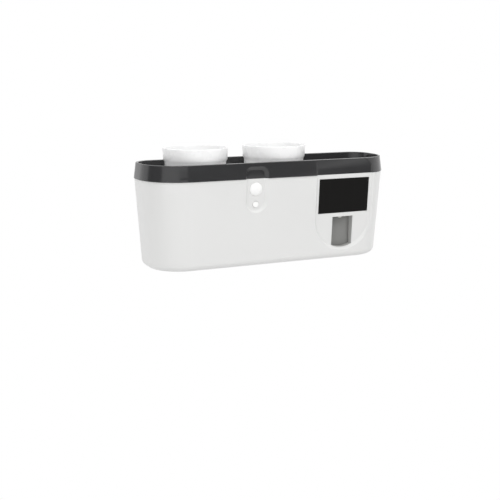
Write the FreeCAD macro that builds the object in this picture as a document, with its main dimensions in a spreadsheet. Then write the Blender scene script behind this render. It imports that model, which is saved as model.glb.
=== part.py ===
"""Wall-hung toothbrush holder with a push-type toothpaste dispenser, in millimetres.

+X runs to the right, -Y to the front and +Z up. The origin is the middle of the wall plate's
back, so the wall is the plane Y = 0. A depth is a distance in front of the wall.
"""

import FreeCAD, Part
import math
import os
import re

import Sketcher

SIZES = {
    # Housing: a tapered shell, widest at the seam under the tray's rim. A set is a distance
    # behind the front of the body at the seam.
    "body_width": 308,
    "body_depth": 88,
    "body_height": 102,
    "body_taper": 4,
    "corner_radius": 46,
    "back_corner": 26,
    "base_radius": 8,
    "wall": 2.4,
    "seam_height": 63,
    "back_gap": 1,
    "overrun": 6,
    "running_gap": 0.5,
    "seat_gap": 0.15,
    # Recesses that run from the housing up into the rim, and what sits in them.
    "recess_depth": 3,
    "boss_margin": 1.5,
    "tongue_x": 85.4,
    "tongue_half": 39,
    "tongue_drop": 53,
    "tongue_rim_floor": 8.5,
    "pill_x": -30.2,
    "pill_half": 13.6,
    "pill_drop": 25.6,
    "pill_top": 14,
    "pill_top_radius": 8,
    "panel_width": 66.8,
    "panel_height": 41,
    "panel_drop": 26,
    "window_thickness": 0.6,
    "cell_thickness": 0.8,
    "mouth_width": 27.8,
    "mouth_top": 51.4,
    "mouth_side": 82.4,
    "mouth_radius": 32,
    "tunnel_wall": 1.6,
    "tunnel_set": 15.4,
    # Rear cover and its screws.
    "cover_outer_depth": 4.3,
    "cover_gap": 0.3,
    "post_size": 8,
    "post_length": 15,
    "side_post_height": 10,
    "base_post_rise": 6.4,
    "base_post_left": -118,
    "base_post_middle": -40,
    "base_post_right": 98,
    "screw_radius": 1.4,
    "screw_head_radius": 2.9,
    "screw_head_height": 1.9,
    "screw_length": 11,
    "screw_gap": 0.1,
    "cross_width_share": 0.2,
    "cross_length_share": 0.6,
    "pilot_share": 0.9,
    # Wall plate: the housing hangs on its two hooks and lifts off upwards.
    "plate_width": 150,
    "plate_height": 36,
    "plate_thickness": 3,
    "plate_corner": 6,
    "adhesive_thickness": 0.8,
    "adhesive_margin": 4,
    "wall_hole_inset": 15,
    "wall_hole_radius": 2.25,
    "wall_hole_sink": 1.8,
    "adhesive_hole_radius": 8,
    "hook_spacing": 80,
    "hook_width": 18,
    "hook_reach": 7.5,
    "hook_lip": 3,
    "hook_arm_low": 1,
    "hook_arm_top": 4,
    "hook_lip_top": 12,
    "hook_slot_low": -9.5,
    # Storage tray: a rim over the housing and a bin inside it.
    "rim_height": 18,
    "rim_taper": 8,
    "rim_overhang": 0.8,
    "rim_back": 3,
    "rim_edge": 0.7,
    "bin_depth": 43.7,
    "bin_wall": 1.8,
    "bin_floor": 2,
    "bin_edge": 2.5,
    "divider_top": 50,
    "divider_wall": 1.6,
    "cup_divider_x": -38.5,
    "tube_divider_x": 54,
    "store_divider_x": 111.5,
    "sensor_bay_half": 12,
    "sensor_bay_set": 18.2,
    "neck_hole_radius": 15,
    # Cups.
    "cup_flare": 0.35,
    "cup_height": 76,
    "cup_draft": 3.2,
    "cup_wall": 1.8,
    "cup_floor": 2.6,
    "cup_edge": 0.8,
    "cup_foot": 2.5,
    "left_cup_x": -88,
    "right_cup_x": 11,
    # Brush rack in the housing's floor: keyhole slots for two thick and three thin necks.
    "rack_left": -125,
    "rack_right": 42,
    "rack_set": 20,
    "rack_back": 26,
    "rack_gap": 0.3,
    "rack_flange": 4,
    "rack_corner": 13,
    "rack_thickness": 2.2,
    "slot_bevel": 0.75,
    "slot_set": 38,
    "slot_length": 13,
    "head_radius": 8.5,
    "thick_slot": 11,
    "thin_slot": 7.5,
    "thick_slot_start": -112,
    "thick_slot_pitch": 35,
    "thin_slot_start": -31,
    "thin_slot_pitch": 27,
    # Light chamber.
    "divider_x": 50.8,
    "divider_thickness": 1.6,
    "reflector_left": -122,
    "reflector_right": 44,
    "reflector_low": -26,
    "reflector_top": -12,
    "reflector_lip": 5,
    "reflector_flare": 1.7,
    "reflector_sheet": 0.5,
    "light_board_left": -117,
    "light_board_right": 28,
    "light_board_height": 9,
    "board_thickness": 1.6,
    "diode_size": 3.5,
    "diode_height": 1.2,
    "diode_dome": 1.3,
    "light_screw_left": -95,
    "light_screw_right": 10,
    "small_screw_radius": 0.95,
    "small_head_radius": 1.9,
    "small_head_height": 1.4,
    "small_pilot": 3.6,
    # Sensor and button on the pill's floor; drops run down the face from the seam.
    "lens_drop": 12.3,
    "lens_radius": 7.5,
    "lens_rise": 0.5,
    "lens_dome": 2.2,
    "lens_flange": 1.4,
    "flange_thickness": 1.2,
    "button_drop": 29.8,
    "button_radius": 3.4,
    "button_gap": 0.35,
    "button_rise": 0.9,
    "button_stem": 1.4,
    "button_edge": 0.5,
    "button_travel": 0.7,
    "sensor_board_half": 10.5,
    "sensor_board_top": 5,
    "sensor_board_low": 41,
    "sensor_board_set": 9,
    "sensor_can_radius": 4.6,
    "sensor_can_height": 4.2,
    "sensor_can_flange": 0.5,
    "switch_size": 6,
    "switch_height": 3.4,
    "switch_case_share": 0.8,
    "sensor_post_radius": 2.3,
    "sensor_post_offset": 7.6,
    "sensor_post_high": 23,
    "sensor_post_low": 37.5,
    # Dispenser.
    "frame_half": 23,
    "frame_wall": 2,
    "frame_top": 18.8,
    "frame_roof": 4.4,
    "frame_low": -33,
    "frame_floor": 2.4,
    "frame_set": 14,
    "frame_roof_set": 9.1,
    "frame_back": 28,
    "frame_foot": 3.4,
    "frame_nose": 13,
    "ear_reach": 8,
    "ear_half": 4.5,
    "ear_thickness": 2.4,
    "frame_post_radius": 3.2,
    "pump_height": -8,
    "base_front": 42,
    "base_back": 30,
    "base_half": 20.4,
    "base_low": -21,
    "bellows_radius": 11,
    "bellows_root": 8.2,
    "bellows_wall": 0.8,
    "bellows_crest": 1.2,
    "bellows_collar": 1.5,
    "bellows_folds": 4,
    "port_radius": 4,
    "inlet_radius": 3,
    "valve_radius": 5,
    "valve_thickness": 0.8,
    "outlet_radius": 1.2,
    "cross_drill_radius": 0.95,
    "outlet_offset": 9,
    "socket_depth": 36,
    "socket_radius": 12.5,
    "socket_bore": 6.5,
    "socket_mouth": 10.5,
    "socket_height": 12,
    "ring_radius": 14.4,
    "ring_height": 6.5,
    "ring_notch_radius": 1.1,
    "ring_notches": 16,
    "ring_notch_share": 0.8,
    "nozzle_set": 13.4,
    "nozzle_flange_radius": 3.6,
    "nozzle_flange": 1.5,
    "nozzle_radius": 2.6,
    "nozzle_tip_radius": 1.8,
    "nozzle_length": 5,
    "nozzle_bore": 1.2,
    "nozzle_hole_radius": 3.3,
    "paddle_half": 15.4,
    "paddle_set": 16.6,
    "paddle_thickness": 2.4,
    "paddle_low": -27,
    "paddle_top": 13,
    "paddle_dish_radius": 45,
    "paddle_dish": 1,
    "lug_radius": 3.8,
    "lug_length": 7,
    "plunger_radius": 8,
    "plunger_length": 3,
    "rod_radius": 2,
    "rod_gap": 0.06,
    "rod_offset": 16.5,
    "rod_set": 17.6,
    "rod_seat": 8,
    "rod_bevel": 0.4,
    "spring_radius": 3,
    "spring_wire": 0.4,
    "spring_turns": 5,
    # Battery and main board beside the dispenser.
    "cell_inset": 34,
    "cell_radius": 7.2,
    "cell_shift": 5.5,
    "cell_length": 49,
    "cell_cap_radius": 2.6,
    "cell_cap": 1,
    "cell_edge": 0.8,
    "cradle_half": 9,
    "cradle_wall": 2,
    "cradle_base": 1.6,
    "cradle_rise": 7,
    "cradle_top": -16,
    "main_board_gap": 4.1,
    "chip_size": 7,
    "chip_height": 1.2,
    "chip_pitch": 14,
    "charge_depth": 36,
    "charge_width": 9,
    "charge_height": 3.2,
    "charge_length": 7.6,
    "charge_wall": 0.3,
    "charge_back": 0.9,
    "charge_tongue": 6,
    "charge_gap": 0.4,
}

doc = FreeCAD.newDocument("ToothpasteDispenser")
sheet = doc.addObject("Spreadsheet::Sheet", "Sizes")
for row, (alias, number) in enumerate(SIZES.items(), start=1):
    sheet.set(f"A{row}", alias)
    sheet.set(f"B{row}", str(number))
    sheet.setAlias(f"B{row}", alias)
doc.recompute()

NODES = []
NEAR = 0.01

# Levels and slopes that several pieces share, as expressions of the sheet's cells.
SLOPE = "tan(body_taper * 1 deg)"
RIM_SLOPE = "(-tan(rim_taper * 1 deg))"
FACE_SIN = "sin(body_taper * 1 deg)"
FACE_COS = "cos(body_taper * 1 deg)"
HALF = "body_width / 2"
FLOOR = "(seam_height - body_height)"
FLOOR_TOP = f"({FLOOR} + wall)"
RIM_TOP = "(seam_height + rim_height)"
BIN_FRONT = "(body_depth - wall - recess_depth - running_gap)"
BIN_BACK = "(cover_outer_depth + wall + running_gap)"
BIN_HALF = "(body_width / 2 - wall - running_gap)"
BIN_CORNER = "(corner_radius - wall - running_gap - recess_depth)"
BIN_BACK_CORNER = "(back_corner - wall - running_gap)"
BIN_BASE = "(seam_height - bin_depth)"
BIN_TOP = f"({BIN_BASE} + bin_floor)"
COVER_INNER = "(cover_outer_depth + wall)"
PLATE_FRONT = "(adhesive_thickness + plate_thickness)"
TUNNEL_END = "(body_depth - tunnel_set)"
BAY_DEPTH = "(body_depth - sensor_bay_set)"
RACK_FRONT = "(body_depth - rack_set)"
SLOT_DEPTH = "(body_depth - slot_set)"
FRAME_FRONT = "(body_depth - frame_set)"
ROOF_FRONT = "(body_depth - frame_roof_set)"
NOZZLE_DEPTH = "(body_depth - nozzle_set)"
PADDLE_FRONT = "(body_depth - paddle_set)"
ROD_FRONT = "(body_depth - rod_set)"
CELL_FRONT = "((body_depth + cell_length) / 2 - cell_shift)"
CELL_X = "(body_width / 2 - cell_inset)"
CUP_DEPTH = f"(({BIN_FRONT} + {BIN_BACK}) / 2)"
CUP_RADIUS = f"(({BIN_FRONT} - {BIN_BACK}) / 2 - bin_wall + cup_flare)"
WALL_HOLES = "plate_width - wall_hole_inset * 2"
COVER_HALF = "(body_width / 2 - back_corner - cover_gap)"
PADDLE_BACK = f"({PADDLE_FRONT} - paddle_thickness)"

LUG_BACK = f"({PADDLE_BACK} - lug_length)"
PLUNGER_BACK = f"({PADDLE_BACK} - plunger_length)"
ROOF_LOW = "(frame_top - frame_roof)"
CELL_HEIGHT = f"({FLOOR_TOP} + cradle_base + cell_radius + screw_gap)"
POCKET_DEPTH = "(window_thickness + cell_thickness + screw_gap)"
BOARD_SET = "(recess_depth + sensor_board_set)"


def half_width_at(level, inset="0"):
    """Half the housing's width at a level, less an inset."""
    return f"(body_width / 2 - (seam_height - ({level})) * {SLOPE} - ({inset}))"


def front_at(level, inset="0"):
    """Depth of the housing's front face at a level, less an inset."""
    return f"(body_depth - (seam_height - ({level})) * {SLOPE} - ({inset}))"


def dome_radius(radius, rise):
    """Radius of the sphere whose cap has a given radius and rise."""
    return f"(({radius}) * ({radius}) + ({rise}) * ({rise})) / (2 * ({rise}))"


def value(text):
    """Number that an expression of the sheet's cells gives."""
    number = sheet.evalExpression(text)
    return float(getattr(number, "Value", number))


def formula(text):
    """The expression as other objects of the document write it."""
    return re.sub(r"[a-z_]+", lambda word: f"Sizes.{word[0]}" if word[0] in SIZES else word[0], text)


def bind(item, **expressions):
    """Tie properties of an object to cells of the sheet."""
    for name, text in expressions.items():
        item.setExpression(name.replace("__", "."), formula(text))


def new_body(label, node=True):
    """An empty body, listed for export when it is a piece of its own."""
    body = doc.addObject("PartDesign::Body", label)
    body.Label = label
    if node:
        NODES.append(body)
    return body


def new_sketch(body, role, level="0", rise="0", tilt=None):
    """Sketch on an origin plane, moved along its normal and up, and turned about its X axis."""
    sketch = body.newObject("Sketcher::SketchObject", f"{body.Name}Sketch")
    plane = next(item for item in body.Origin.OriginFeatures if item.Role == role)
    sketch.AttachmentSupport = [(plane, "")]
    sketch.MapMode = "FlatFace"
    turn = FreeCAD.Rotation(FreeCAD.Vector(1, 0, 0), value(tilt) if tilt else 0)
    sketch.AttachmentOffset = FreeCAD.Placement(FreeCAD.Vector(0, value(rise), value(level)), turn)
    bind(sketch, AttachmentOffset__Base__z=level, AttachmentOffset__Base__y=rise)
    return sketch


def place_point(sketch, geometry, position, x, y):
    """Dimension one point of a sketch from its origin."""
    for kind, text, axis in (("DistanceX", x, -2), ("DistanceY", y, -1)):
        if text == "0":
            sketch.addConstraint(Sketcher.Constraint("PointOnObject", geometry, position, axis))
            continue
        rule = Sketcher.Constraint(kind, -1, 1, geometry, position, value(text))
        sketch.setExpression(f"Constraints[{sketch.addConstraint(rule)}]", formula(text))


def arc_between(start, end, before, radius):
    """Anticlockwise arc from start to end, tangent to the edge before it or of a given radius."""
    chord = end - start
    if radius == "tangent":
        run = (start - before).normalize()
        left = FreeCAD.Vector(-run.y, run.x, 0)
        size = chord.Length ** 2 / (2 * chord.dot(left))
        centre = start + left * size
    else:
        size = value(radius)
        left = FreeCAD.Vector(-chord.y, chord.x, 0).normalize()
        centre = (start + end) / 2 + left * math.sqrt(size ** 2 - (chord.Length / 2) ** 2)
    first = math.atan2(start.y - centre.y, start.x - centre.x)
    last = math.atan2(end.y - centre.y, end.x - centre.x)
    if last <= first:
        last += 2 * math.pi
    return Part.ArcOfCircle(Part.Circle(centre, FreeCAD.Vector(0, 0, 1), size), first, last)


def outline(sketch, corners):
    """Closed outline, run anticlockwise where it has arcs.

    A corner is (x, y), or (x, y, bend) where an arc leads on from it: bend is "tangent" or the
    arc's radius.
    """
    first = sketch.GeometryCount
    count = len(corners)
    points = [FreeCAD.Vector(value(corner[0]), value(corner[1]), 0) for corner in corners]
    for index, corner in enumerate(corners):
        end = points[(index + 1) % count]
        if len(corner) == 2:
            sketch.addGeometry(Part.LineSegment(points[index], end), False)
        else:
            sketch.addGeometry(arc_between(points[index], end, points[index - 1], corner[2]), False)
    for index, corner in enumerate(corners):
        edge = first + index
        before = first + (index - 1) % count
        bend = corner[2] if len(corner) > 2 else None
        joint = "Tangent" if bend == "tangent" else "Coincident"
        sketch.addConstraint(Sketcher.Constraint(joint, before, 2, edge, 1))
        place_point(sketch, edge, 1, corner[0], corner[1])
        if bend not in (None, "tangent"):
            rule = sketch.addConstraint(Sketcher.Constraint("Radius", edge, value(bend)))
            sketch.setExpression(f"Constraints[{rule}]", formula(bend))


def rectangle(sketch, left, right, low, high):
    """Rectangle between two pairs of sides."""
    outline(sketch, [(left, low), (right, low), (right, high), (left, high)])


def circle(sketch, x, y, radius):
    """Circle by its centre and radius."""
    middle = FreeCAD.Vector(value(x), value(y), 0)
    index = sketch.addGeometry(Part.Circle(middle, FreeCAD.Vector(0, 0, 1), value(radius)), False)
    place_point(sketch, index, 3, x, y)
    rule = sketch.addConstraint(Sketcher.Constraint("Radius", index, value(radius)))
    sketch.setExpression(f"Constraints[{rule}]", formula(radius))


def extrude(body, kind, sketch, length, reverse=False, both=False):
    """Pad or pocket of a sketch, one way or both ways."""
    feature = body.newObject(f"PartDesign::{kind}", f"{body.Name}{kind}")
    feature.Profile = sketch
    feature.Reversed = reverse
    if both:
        feature.SideType = "Symmetric"
    bind(feature, Length=length)
    doc.recompute()
    return feature


def pad(body, sketch, length, **options):
    """Material raised from a sketch along its normal."""
    return extrude(body, "Pad", sketch, length, **options)


def pocket(body, sketch, length, **options):
    """Material cut from a sketch against its normal; the cut must find something."""
    before = body.Tip.Shape.Volume
    feature = extrude(body, "Pocket", sketch, length, **options)
    if feature.Shape.isNull() or feature.Shape.Volume >= before:
        raise RuntimeError(f"{feature.Name} in {body.Label} cuts nothing")
    return feature


def revolve(body, corners):
    """Solid of revolution about the body's Z axis from a profile of radius and height."""
    sketch = new_sketch(body, "XZ_Plane")
    outline(sketch, corners)
    feature = body.newObject("PartDesign::Revolution", f"{body.Name}Revolution")
    feature.Profile = sketch
    feature.ReferenceAxis = (sketch, ["V_Axis"])
    feature.Angle = 360
    doc.recompute()
    return feature


def loft(body, kind, first, second):
    """Straight-sided solid or cut between two outlines of equal build."""
    before = body.Tip.Shape.Volume if kind == "Subtractive" else 0
    feature = body.newObject(f"PartDesign::{kind}Loft", f"{body.Name}Loft")
    feature.Profile = first
    feature.Sections = [second]
    feature.Ruled = True
    doc.recompute()
    if kind == "Subtractive" and feature.Shape.Volume >= before:
        raise RuntimeError(f"{feature.Name} in {body.Label} cuts nothing")
    return feature


def soften(body, radius, choose, kind="Fillet"):
    """Round or chamfer the edges of the body's last shape that a test on their box chooses."""
    base = body.Tip
    names = [f"Edge{number}" for number, edge in enumerate(base.Shape.Edges, start=1) if choose(edge)]
    if not names:
        raise RuntimeError(f"no edge to soften in {body.Label}")
    feature = body.newObject(f"PartDesign::{kind}", f"{body.Name}{kind}")
    feature.Base = (base, names)
    bind(feature, **{"Radius" if kind == "Fillet" else "Size": radius})
    doc.recompute()
    return feature


def level_edge(edge, level):
    """True for an edge that lies at one height."""
    box = edge.BoundBox
    return abs(box.ZMin - level) < NEAR and abs(box.ZMax - level) < NEAR


def mirror(body, features):
    """Repeat features on the other side of the body's YZ plane."""
    plane = next(item for item in body.Origin.OriginFeatures if item.Role == "YZ_Plane")
    feature = body.newObject("PartDesign::Mirrored", f"{body.Name}Mirrored")
    feature.Originals = features
    feature.MirrorPlane = (plane, [""])
    body.Tip = feature
    doc.recompute()


def put(body, x, depth, level, turn="0"):
    """Place a body by X, depth and level, turned about X by an angle in degrees."""
    turned = FreeCAD.Rotation(FreeCAD.Vector(1, 0, 0), value(turn))
    body.Placement = FreeCAD.Placement(FreeCAD.Vector(), turned)
    bind(body, Placement__Base__x=x, Placement__Base__y=f"-({depth})", Placement__Base__z=level)
    doc.recompute()


def on_face(body, x, drop):
    """Stand a body on a recess floor, its Z axis along the face's outward normal."""
    depth = f"body_depth - ({drop}) * {FACE_SIN} - recess_depth * {FACE_COS}"
    level = f"seam_height - ({drop}) * {FACE_COS} + recess_depth * {FACE_SIN}"
    put(body, x, depth, level, "90 + body_taper")


def group(label, pattern, places):
    """One node of equal pieces: copies of a pattern body at (x, depth, level)."""
    turned = pattern.Placement.Rotation
    copies = []
    for x, depth, level in places:
        copy = pattern.Tip.Shape.copy()
        spot = FreeCAD.Vector(value(x), -value(depth), value(level))
        copy.Placement = FreeCAD.Placement(spot, turned) * copy.Placement
        copies.append(copy)
    node = doc.addObject("Part::Feature", label)
    node.Label = label
    node.Shape = Part.makeCompound(copies)
    NODES.append(node)
    return node


def screw_pattern(label, radius, head_radius, head_height, length, turn):
    """Pan-head screw with a cross recess; its head stands on Z = 0 and its shank runs down."""
    body = new_body(label, node=False)
    revolve(body, [
        ("0", f"-({length})"),
        (radius, f"-({length}) + {radius}"),
        (radius, "0"),
        (head_radius, "0"),
        (head_radius, f"{head_height} / 2", dome_radius(head_radius, f"{head_height} / 2")),
        ("0", head_height),
    ])
    shares = ("cross_width_share", "cross_length_share")
    for across, along in (shares, shares[::-1]):
        sketch = new_sketch(body, "XY_Plane", level=head_height)
        rectangle(sketch, f"-{head_radius} * {across}", f"{head_radius} * {across}",
                  f"-{head_radius} * {along}", f"{head_radius} * {along}")
        pocket(body, sketch, f"{head_height} / 2")
    put(body, "0", "0", "0", turn)
    return body


def shell_outline(sketch, half, front, back, radius, back_radius):
    """Plan outline of the body: straight sides between round front and back corners."""
    outline(sketch, [
        (f"-({half})", f"-({back}) - {back_radius}"),
        (f"-({half})", f"-({front}) + {radius}", "tangent"),
        (f"-({half}) + {radius}", f"-({front})"),
        (f"({half}) - {radius}", f"-({front})", "tangent"),
        (half, f"-({front}) + {radius}"),
        (half, f"-({back}) - {back_radius}", "tangent"),
        (f"({half}) - {back_radius}", f"-({back})"),
        (f"-({half}) + {back_radius}", f"-({back})", "tangent"),
    ])


def shell_loft(body, kind, levels, sizes, back, lean):
    """Loft between plan outlines at two levels; sizes hold at the seam and lean is the draft's slope."""
    half, front, radius, back_radius = sizes
    sketches = []
    for level in levels:
        shrink = f"(seam_height - ({level})) * {lean}"
        sketch = new_sketch(body, "XY_Plane", level=level)
        shell_outline(sketch, f"({half} - {shrink})", f"({front} - {shrink})", back,
                      f"({radius} - {shrink})", f"({back_radius})")
        sketches.append(sketch)
    return loft(body, kind, *sketches)


def tongue_outline(sketch, grow, top):
    """The wide recess on the front: open at the top, a half circle at the bottom."""
    reach = f"(tongue_half + {grow})"
    outline(sketch, [
        (f"tongue_x - {reach}", top),
        (f"tongue_x - {reach}", "-tongue_drop", "tangent"),
        (f"tongue_x + {reach}", "-tongue_drop"),
        (f"tongue_x + {reach}", top),
    ])


def pill_outline(sketch, grow, top):
    """The narrow recess on the front: open at the top, a half circle at the bottom."""
    reach = f"(pill_half + {grow})"
    outline(sketch, [
        (f"pill_x - {reach}", top),
        (f"pill_x - {reach}", "-pill_drop", "tangent"),
        (f"pill_x + {reach}", "-pill_drop"),
        (f"pill_x + {reach}", top),
    ])


def mouth_outline(sketch, grow):
    """The dispenser's mouth: straight top and sides, a shallow bow at the bottom."""
    reach = f"(mouth_width / 2 + {grow})"
    outline(sketch, [
        (f"tongue_x - {reach}", f"-mouth_top + {grow}"),
        (f"tongue_x - {reach}", f"-mouth_side - {grow}", "mouth_radius"),
        (f"tongue_x + {reach}", f"-mouth_side - {grow}"),
        (f"tongue_x + {reach}", f"-mouth_top + {grow}"),
    ])


def face_sketch(body, inset="0"):
    """Sketch on the leaning front face, or parallel to it inside; Y runs up from the seam."""
    level = f"body_depth - ({inset}) * {FACE_COS}"
    rise = f"seam_height + ({inset}) * {FACE_SIN}"
    return new_sketch(body, "XZ_Plane", level=level, rise=rise, tilt="body_taper")


def cover_posts():
    """Centre of each rear-cover screw as (x, level)."""
    side = f"({COVER_HALF} - post_size)"
    base = f"{FLOOR} + base_post_rise"
    return [
        (f"-{side}", "side_post_height"),
        (side, "side_post_height"),
        ("base_post_left", base),
        ("base_post_middle", base),
        ("base_post_right", base),
    ]


def front_housing():
    """White shell: tapered, open at the top and behind the cover, with two recesses and the mouth."""
    body = new_body("front_housing")
    shell_loft(body, "Additive", ("seam_height", FLOOR),
               (HALF, "body_depth", "corner_radius", "back_corner"), "back_gap", SLOPE)
    base = value(FLOOR)
    soften(body, "base_radius", lambda edge: level_edge(edge, base))
    shell_loft(body, "Subtractive", ("seam_height", FLOOR_TOP),
               (f"{HALF} - wall", "body_depth - wall", "corner_radius - wall", "back_corner - wall"),
               "back_gap + wall", SLOPE)
    inner = value(FLOOR_TOP)
    soften(body, "base_radius - wall", lambda edge: level_edge(edge, inner))
    sketch = new_sketch(body, "XZ_Plane", level=f"{COVER_INNER} + seat_gap")
    rectangle(sketch, f"-{COVER_HALF} - cover_gap", f"{COVER_HALF} + cover_gap",
              FLOOR_TOP, "seam_height + overrun")
    pocket(body, sketch, f"{COVER_INNER} + seat_gap")
    thicken_recesses(body)
    cut_recesses(body)
    add_housing_posts(body)
    cut_housing_openings(body)
    return body


def thicken_recesses(body):
    """Raise the inside of the front wall behind each recess, and the tunnel behind the mouth."""
    for shape in (tongue_outline, pill_outline):
        sketch = face_sketch(body, "wall / 2")
        shape(sketch, "boss_margin", "recess_depth")
        pad(body, sketch, "recess_depth + wall / 2", reverse=True)
    sketch = face_sketch(body, "recess_depth + wall / 2")
    mouth_outline(sketch, "tunnel_wall")
    pad(body, sketch, f"body_depth - {TUNNEL_END}", reverse=True)
    sketch = new_sketch(body, "XZ_Plane", level=TUNNEL_END)
    rectangle(sketch, "tongue_x - mouth_width", "tongue_x + mouth_width",
              FLOOR_TOP, "seam_height")
    pocket(body, sketch, f"body_depth - {TUNNEL_END}")
    sketch = new_sketch(body, "XY_Plane", level="seam_height")
    rectangle(sketch, "-body_width", "body_width", "-body_depth * 2", "overrun")
    pocket(body, sketch, "overrun", reverse=True)


def cut_recesses(body):
    """Sink the two recesses with sloped walls, the panel's seat, the mouth and the face holes."""
    for shape in (tongue_outline, pill_outline):
        mouth = face_sketch(body)
        shape(mouth, "0", "overrun")
        floor = face_sketch(body, "recess_depth")
        shape(floor, "-recess_depth", "overrun")
        loft(body, "Subtractive", mouth, floor)
    sketch = face_sketch(body, "recess_depth")
    rectangle(sketch, "tongue_x - panel_width / 2 - cover_gap", "tongue_x + panel_width / 2 + cover_gap",
              "-panel_drop - panel_height / 2 - cover_gap", "-panel_drop + panel_height / 2 + cover_gap")
    pocket(body, sketch, POCKET_DEPTH)
    sketch = face_sketch(body)
    mouth_outline(sketch, "0")
    pocket(body, sketch, f"body_depth - {TUNNEL_END} + overrun")
    sketch = face_sketch(body, "recess_depth")
    circle(sketch, "pill_x", "-lens_drop", "lens_radius + screw_gap")
    circle(sketch, "pill_x", "-button_drop", "button_radius + button_gap")
    pocket(body, sketch, "wall + overrun / 2")
    sketch = new_sketch(body, "XY_Plane", level=ROOF_LOW)
    circle(sketch, "tongue_x", f"-{NOZZLE_DEPTH}", "nozzle_hole_radius")
    pocket(body, sketch, "overrun")


def add_housing_posts(body):
    """Screw posts: along the back for the cover, inside the front for the frame and the sensor."""
    posts = cover_posts()
    seat = f"({COVER_INNER} + seat_gap)"
    bend = "(back_gap + back_corner)"
    reach = half_width_at("side_post_height", "wall / 2")
    side = posts[1][0]
    sketch = new_sketch(body, "XY_Plane", level="side_post_height - post_size / 2")
    for sign in ("-", "+"):
        outline(sketch, [
            (f"{sign}({side} - post_size / 2)", f"-{seat}"),
            (f"{sign}({side} + post_size / 2)", f"-{seat}"),
            (f"{sign}{reach}", f"-{bend}"),
            (f"{sign}{reach}", f"-{bend} - post_size"),
            (f"{sign}({side} - post_size / 2)", f"-{seat} - post_length"),
        ])
    pad(body, sketch, "post_size")
    sketch = new_sketch(body, "XZ_Plane", level=seat)
    for x, level in posts[2:]:
        outline(sketch, [
            (f"{x} - post_size / 2", f"{FLOOR} + wall / 2"),
            (f"{x} + post_size / 2", f"{FLOOR} + wall / 2"),
            (f"{x} + post_size / 2", level, "tangent"),
            (f"{x} - post_size / 2", level),
        ])
    pad(body, sketch, "post_length")
    sketch = new_sketch(body, "XZ_Plane", level=f"{COVER_INNER} - overrun")
    for x, level in posts:
        circle(sketch, x, level, "screw_radius")
    pocket(body, sketch, "post_length * pilot_share + overrun", reverse=True)
    sketch = new_sketch(body, "XZ_Plane", level=f"{FRAME_FRONT} + seat_gap")
    for side in ("-", "+"):
        circle(sketch, f"tongue_x {side} frame_half {side} ear_reach / 2", "pump_height", "frame_post_radius")
    pad(body, sketch, f"{front_at('pump_height', 'recess_depth + wall / 2')} - {FRAME_FRONT}")
    sketch = new_sketch(body, "XZ_Plane", level=f"{FRAME_FRONT} - overrun")
    for side in ("-", "+"):
        circle(sketch, f"tongue_x {side} frame_half {side} ear_reach / 2", "pump_height",
               "small_screw_radius")
    pocket(body, sketch, "overrun + small_pilot", reverse=True)
    sketch = face_sketch(body, BOARD_SET)
    circle(sketch, "pill_x - sensor_post_offset", "-sensor_post_high", "sensor_post_radius")
    circle(sketch, "pill_x + sensor_post_offset", "-sensor_post_low", "sensor_post_radius")
    pad(body, sketch, "sensor_board_set - wall / 2")
    sketch = face_sketch(body, f"{BOARD_SET} + overrun")
    circle(sketch, "pill_x - sensor_post_offset", "-sensor_post_high", "small_screw_radius")
    circle(sketch, "pill_x + sensor_post_offset", "-sensor_post_low", "small_screw_radius")
    pocket(body, sketch, "overrun + sensor_board_set - wall", reverse=True)


def cut_housing_openings(body):
    """Opening for the brush rack in the floor and for the charge socket in the right end."""
    sketch = new_sketch(body, "XY_Plane", level=FLOOR_TOP)
    rectangle(sketch, "rack_left", "rack_right", f"-{RACK_FRONT}", "-rack_back")
    pocket(body, sketch, "wall + overrun")
    sketch = new_sketch(body, "YZ_Plane", level=f"{half_width_at('cradle_top')} + overrun")
    low = "cradle_top + board_thickness + seat_gap"
    rectangle(sketch, "-charge_depth - charge_width / 2 - charge_gap",
              "-charge_depth + charge_width / 2 + charge_gap",
              f"{low} - charge_gap", f"{low} + charge_height + charge_gap")
    pocket(body, sketch, "overrun + wall * 2")


def rear_cover():
    """Flat cover set into the housing's back, with two slots that drop over the wall hooks."""
    body = new_body("rear_cover")
    sketch = new_sketch(body, "XZ_Plane", level="cover_outer_depth")
    rectangle(sketch, f"-{COVER_HALF}", COVER_HALF,
              f"{FLOOR_TOP} + cover_gap", "seam_height - cover_gap * 2")
    pad(body, sketch, "wall")
    sketch = new_sketch(body, "XZ_Plane", level="cover_outer_depth")
    for side in ("-", "+"):
        rectangle(sketch, f"{side}hook_spacing / 2 - hook_width / 2 - running_gap",
                  f"{side}hook_spacing / 2 + hook_width / 2 + running_gap",
                  "hook_slot_low", "hook_arm_top + seat_gap")
    for x, level in cover_posts():
        circle(sketch, x, level, "screw_radius + screw_gap")
    for x in ("light_screw_left", "light_screw_right"):
        circle(sketch, x, "(reflector_low + reflector_top) / 2", "small_screw_radius")
    pocket(body, sketch, "wall", reverse=True)
    return body


def cover_screws():
    """Screws that hold the rear cover to the housing's posts."""
    pattern = screw_pattern("CoverScrew", "screw_radius - screw_gap", "screw_head_radius",
                            "screw_head_height", "screw_length", "-90")
    group("cover_screws", pattern, [(x, "cover_outer_depth", level) for x, level in cover_posts()])


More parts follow.
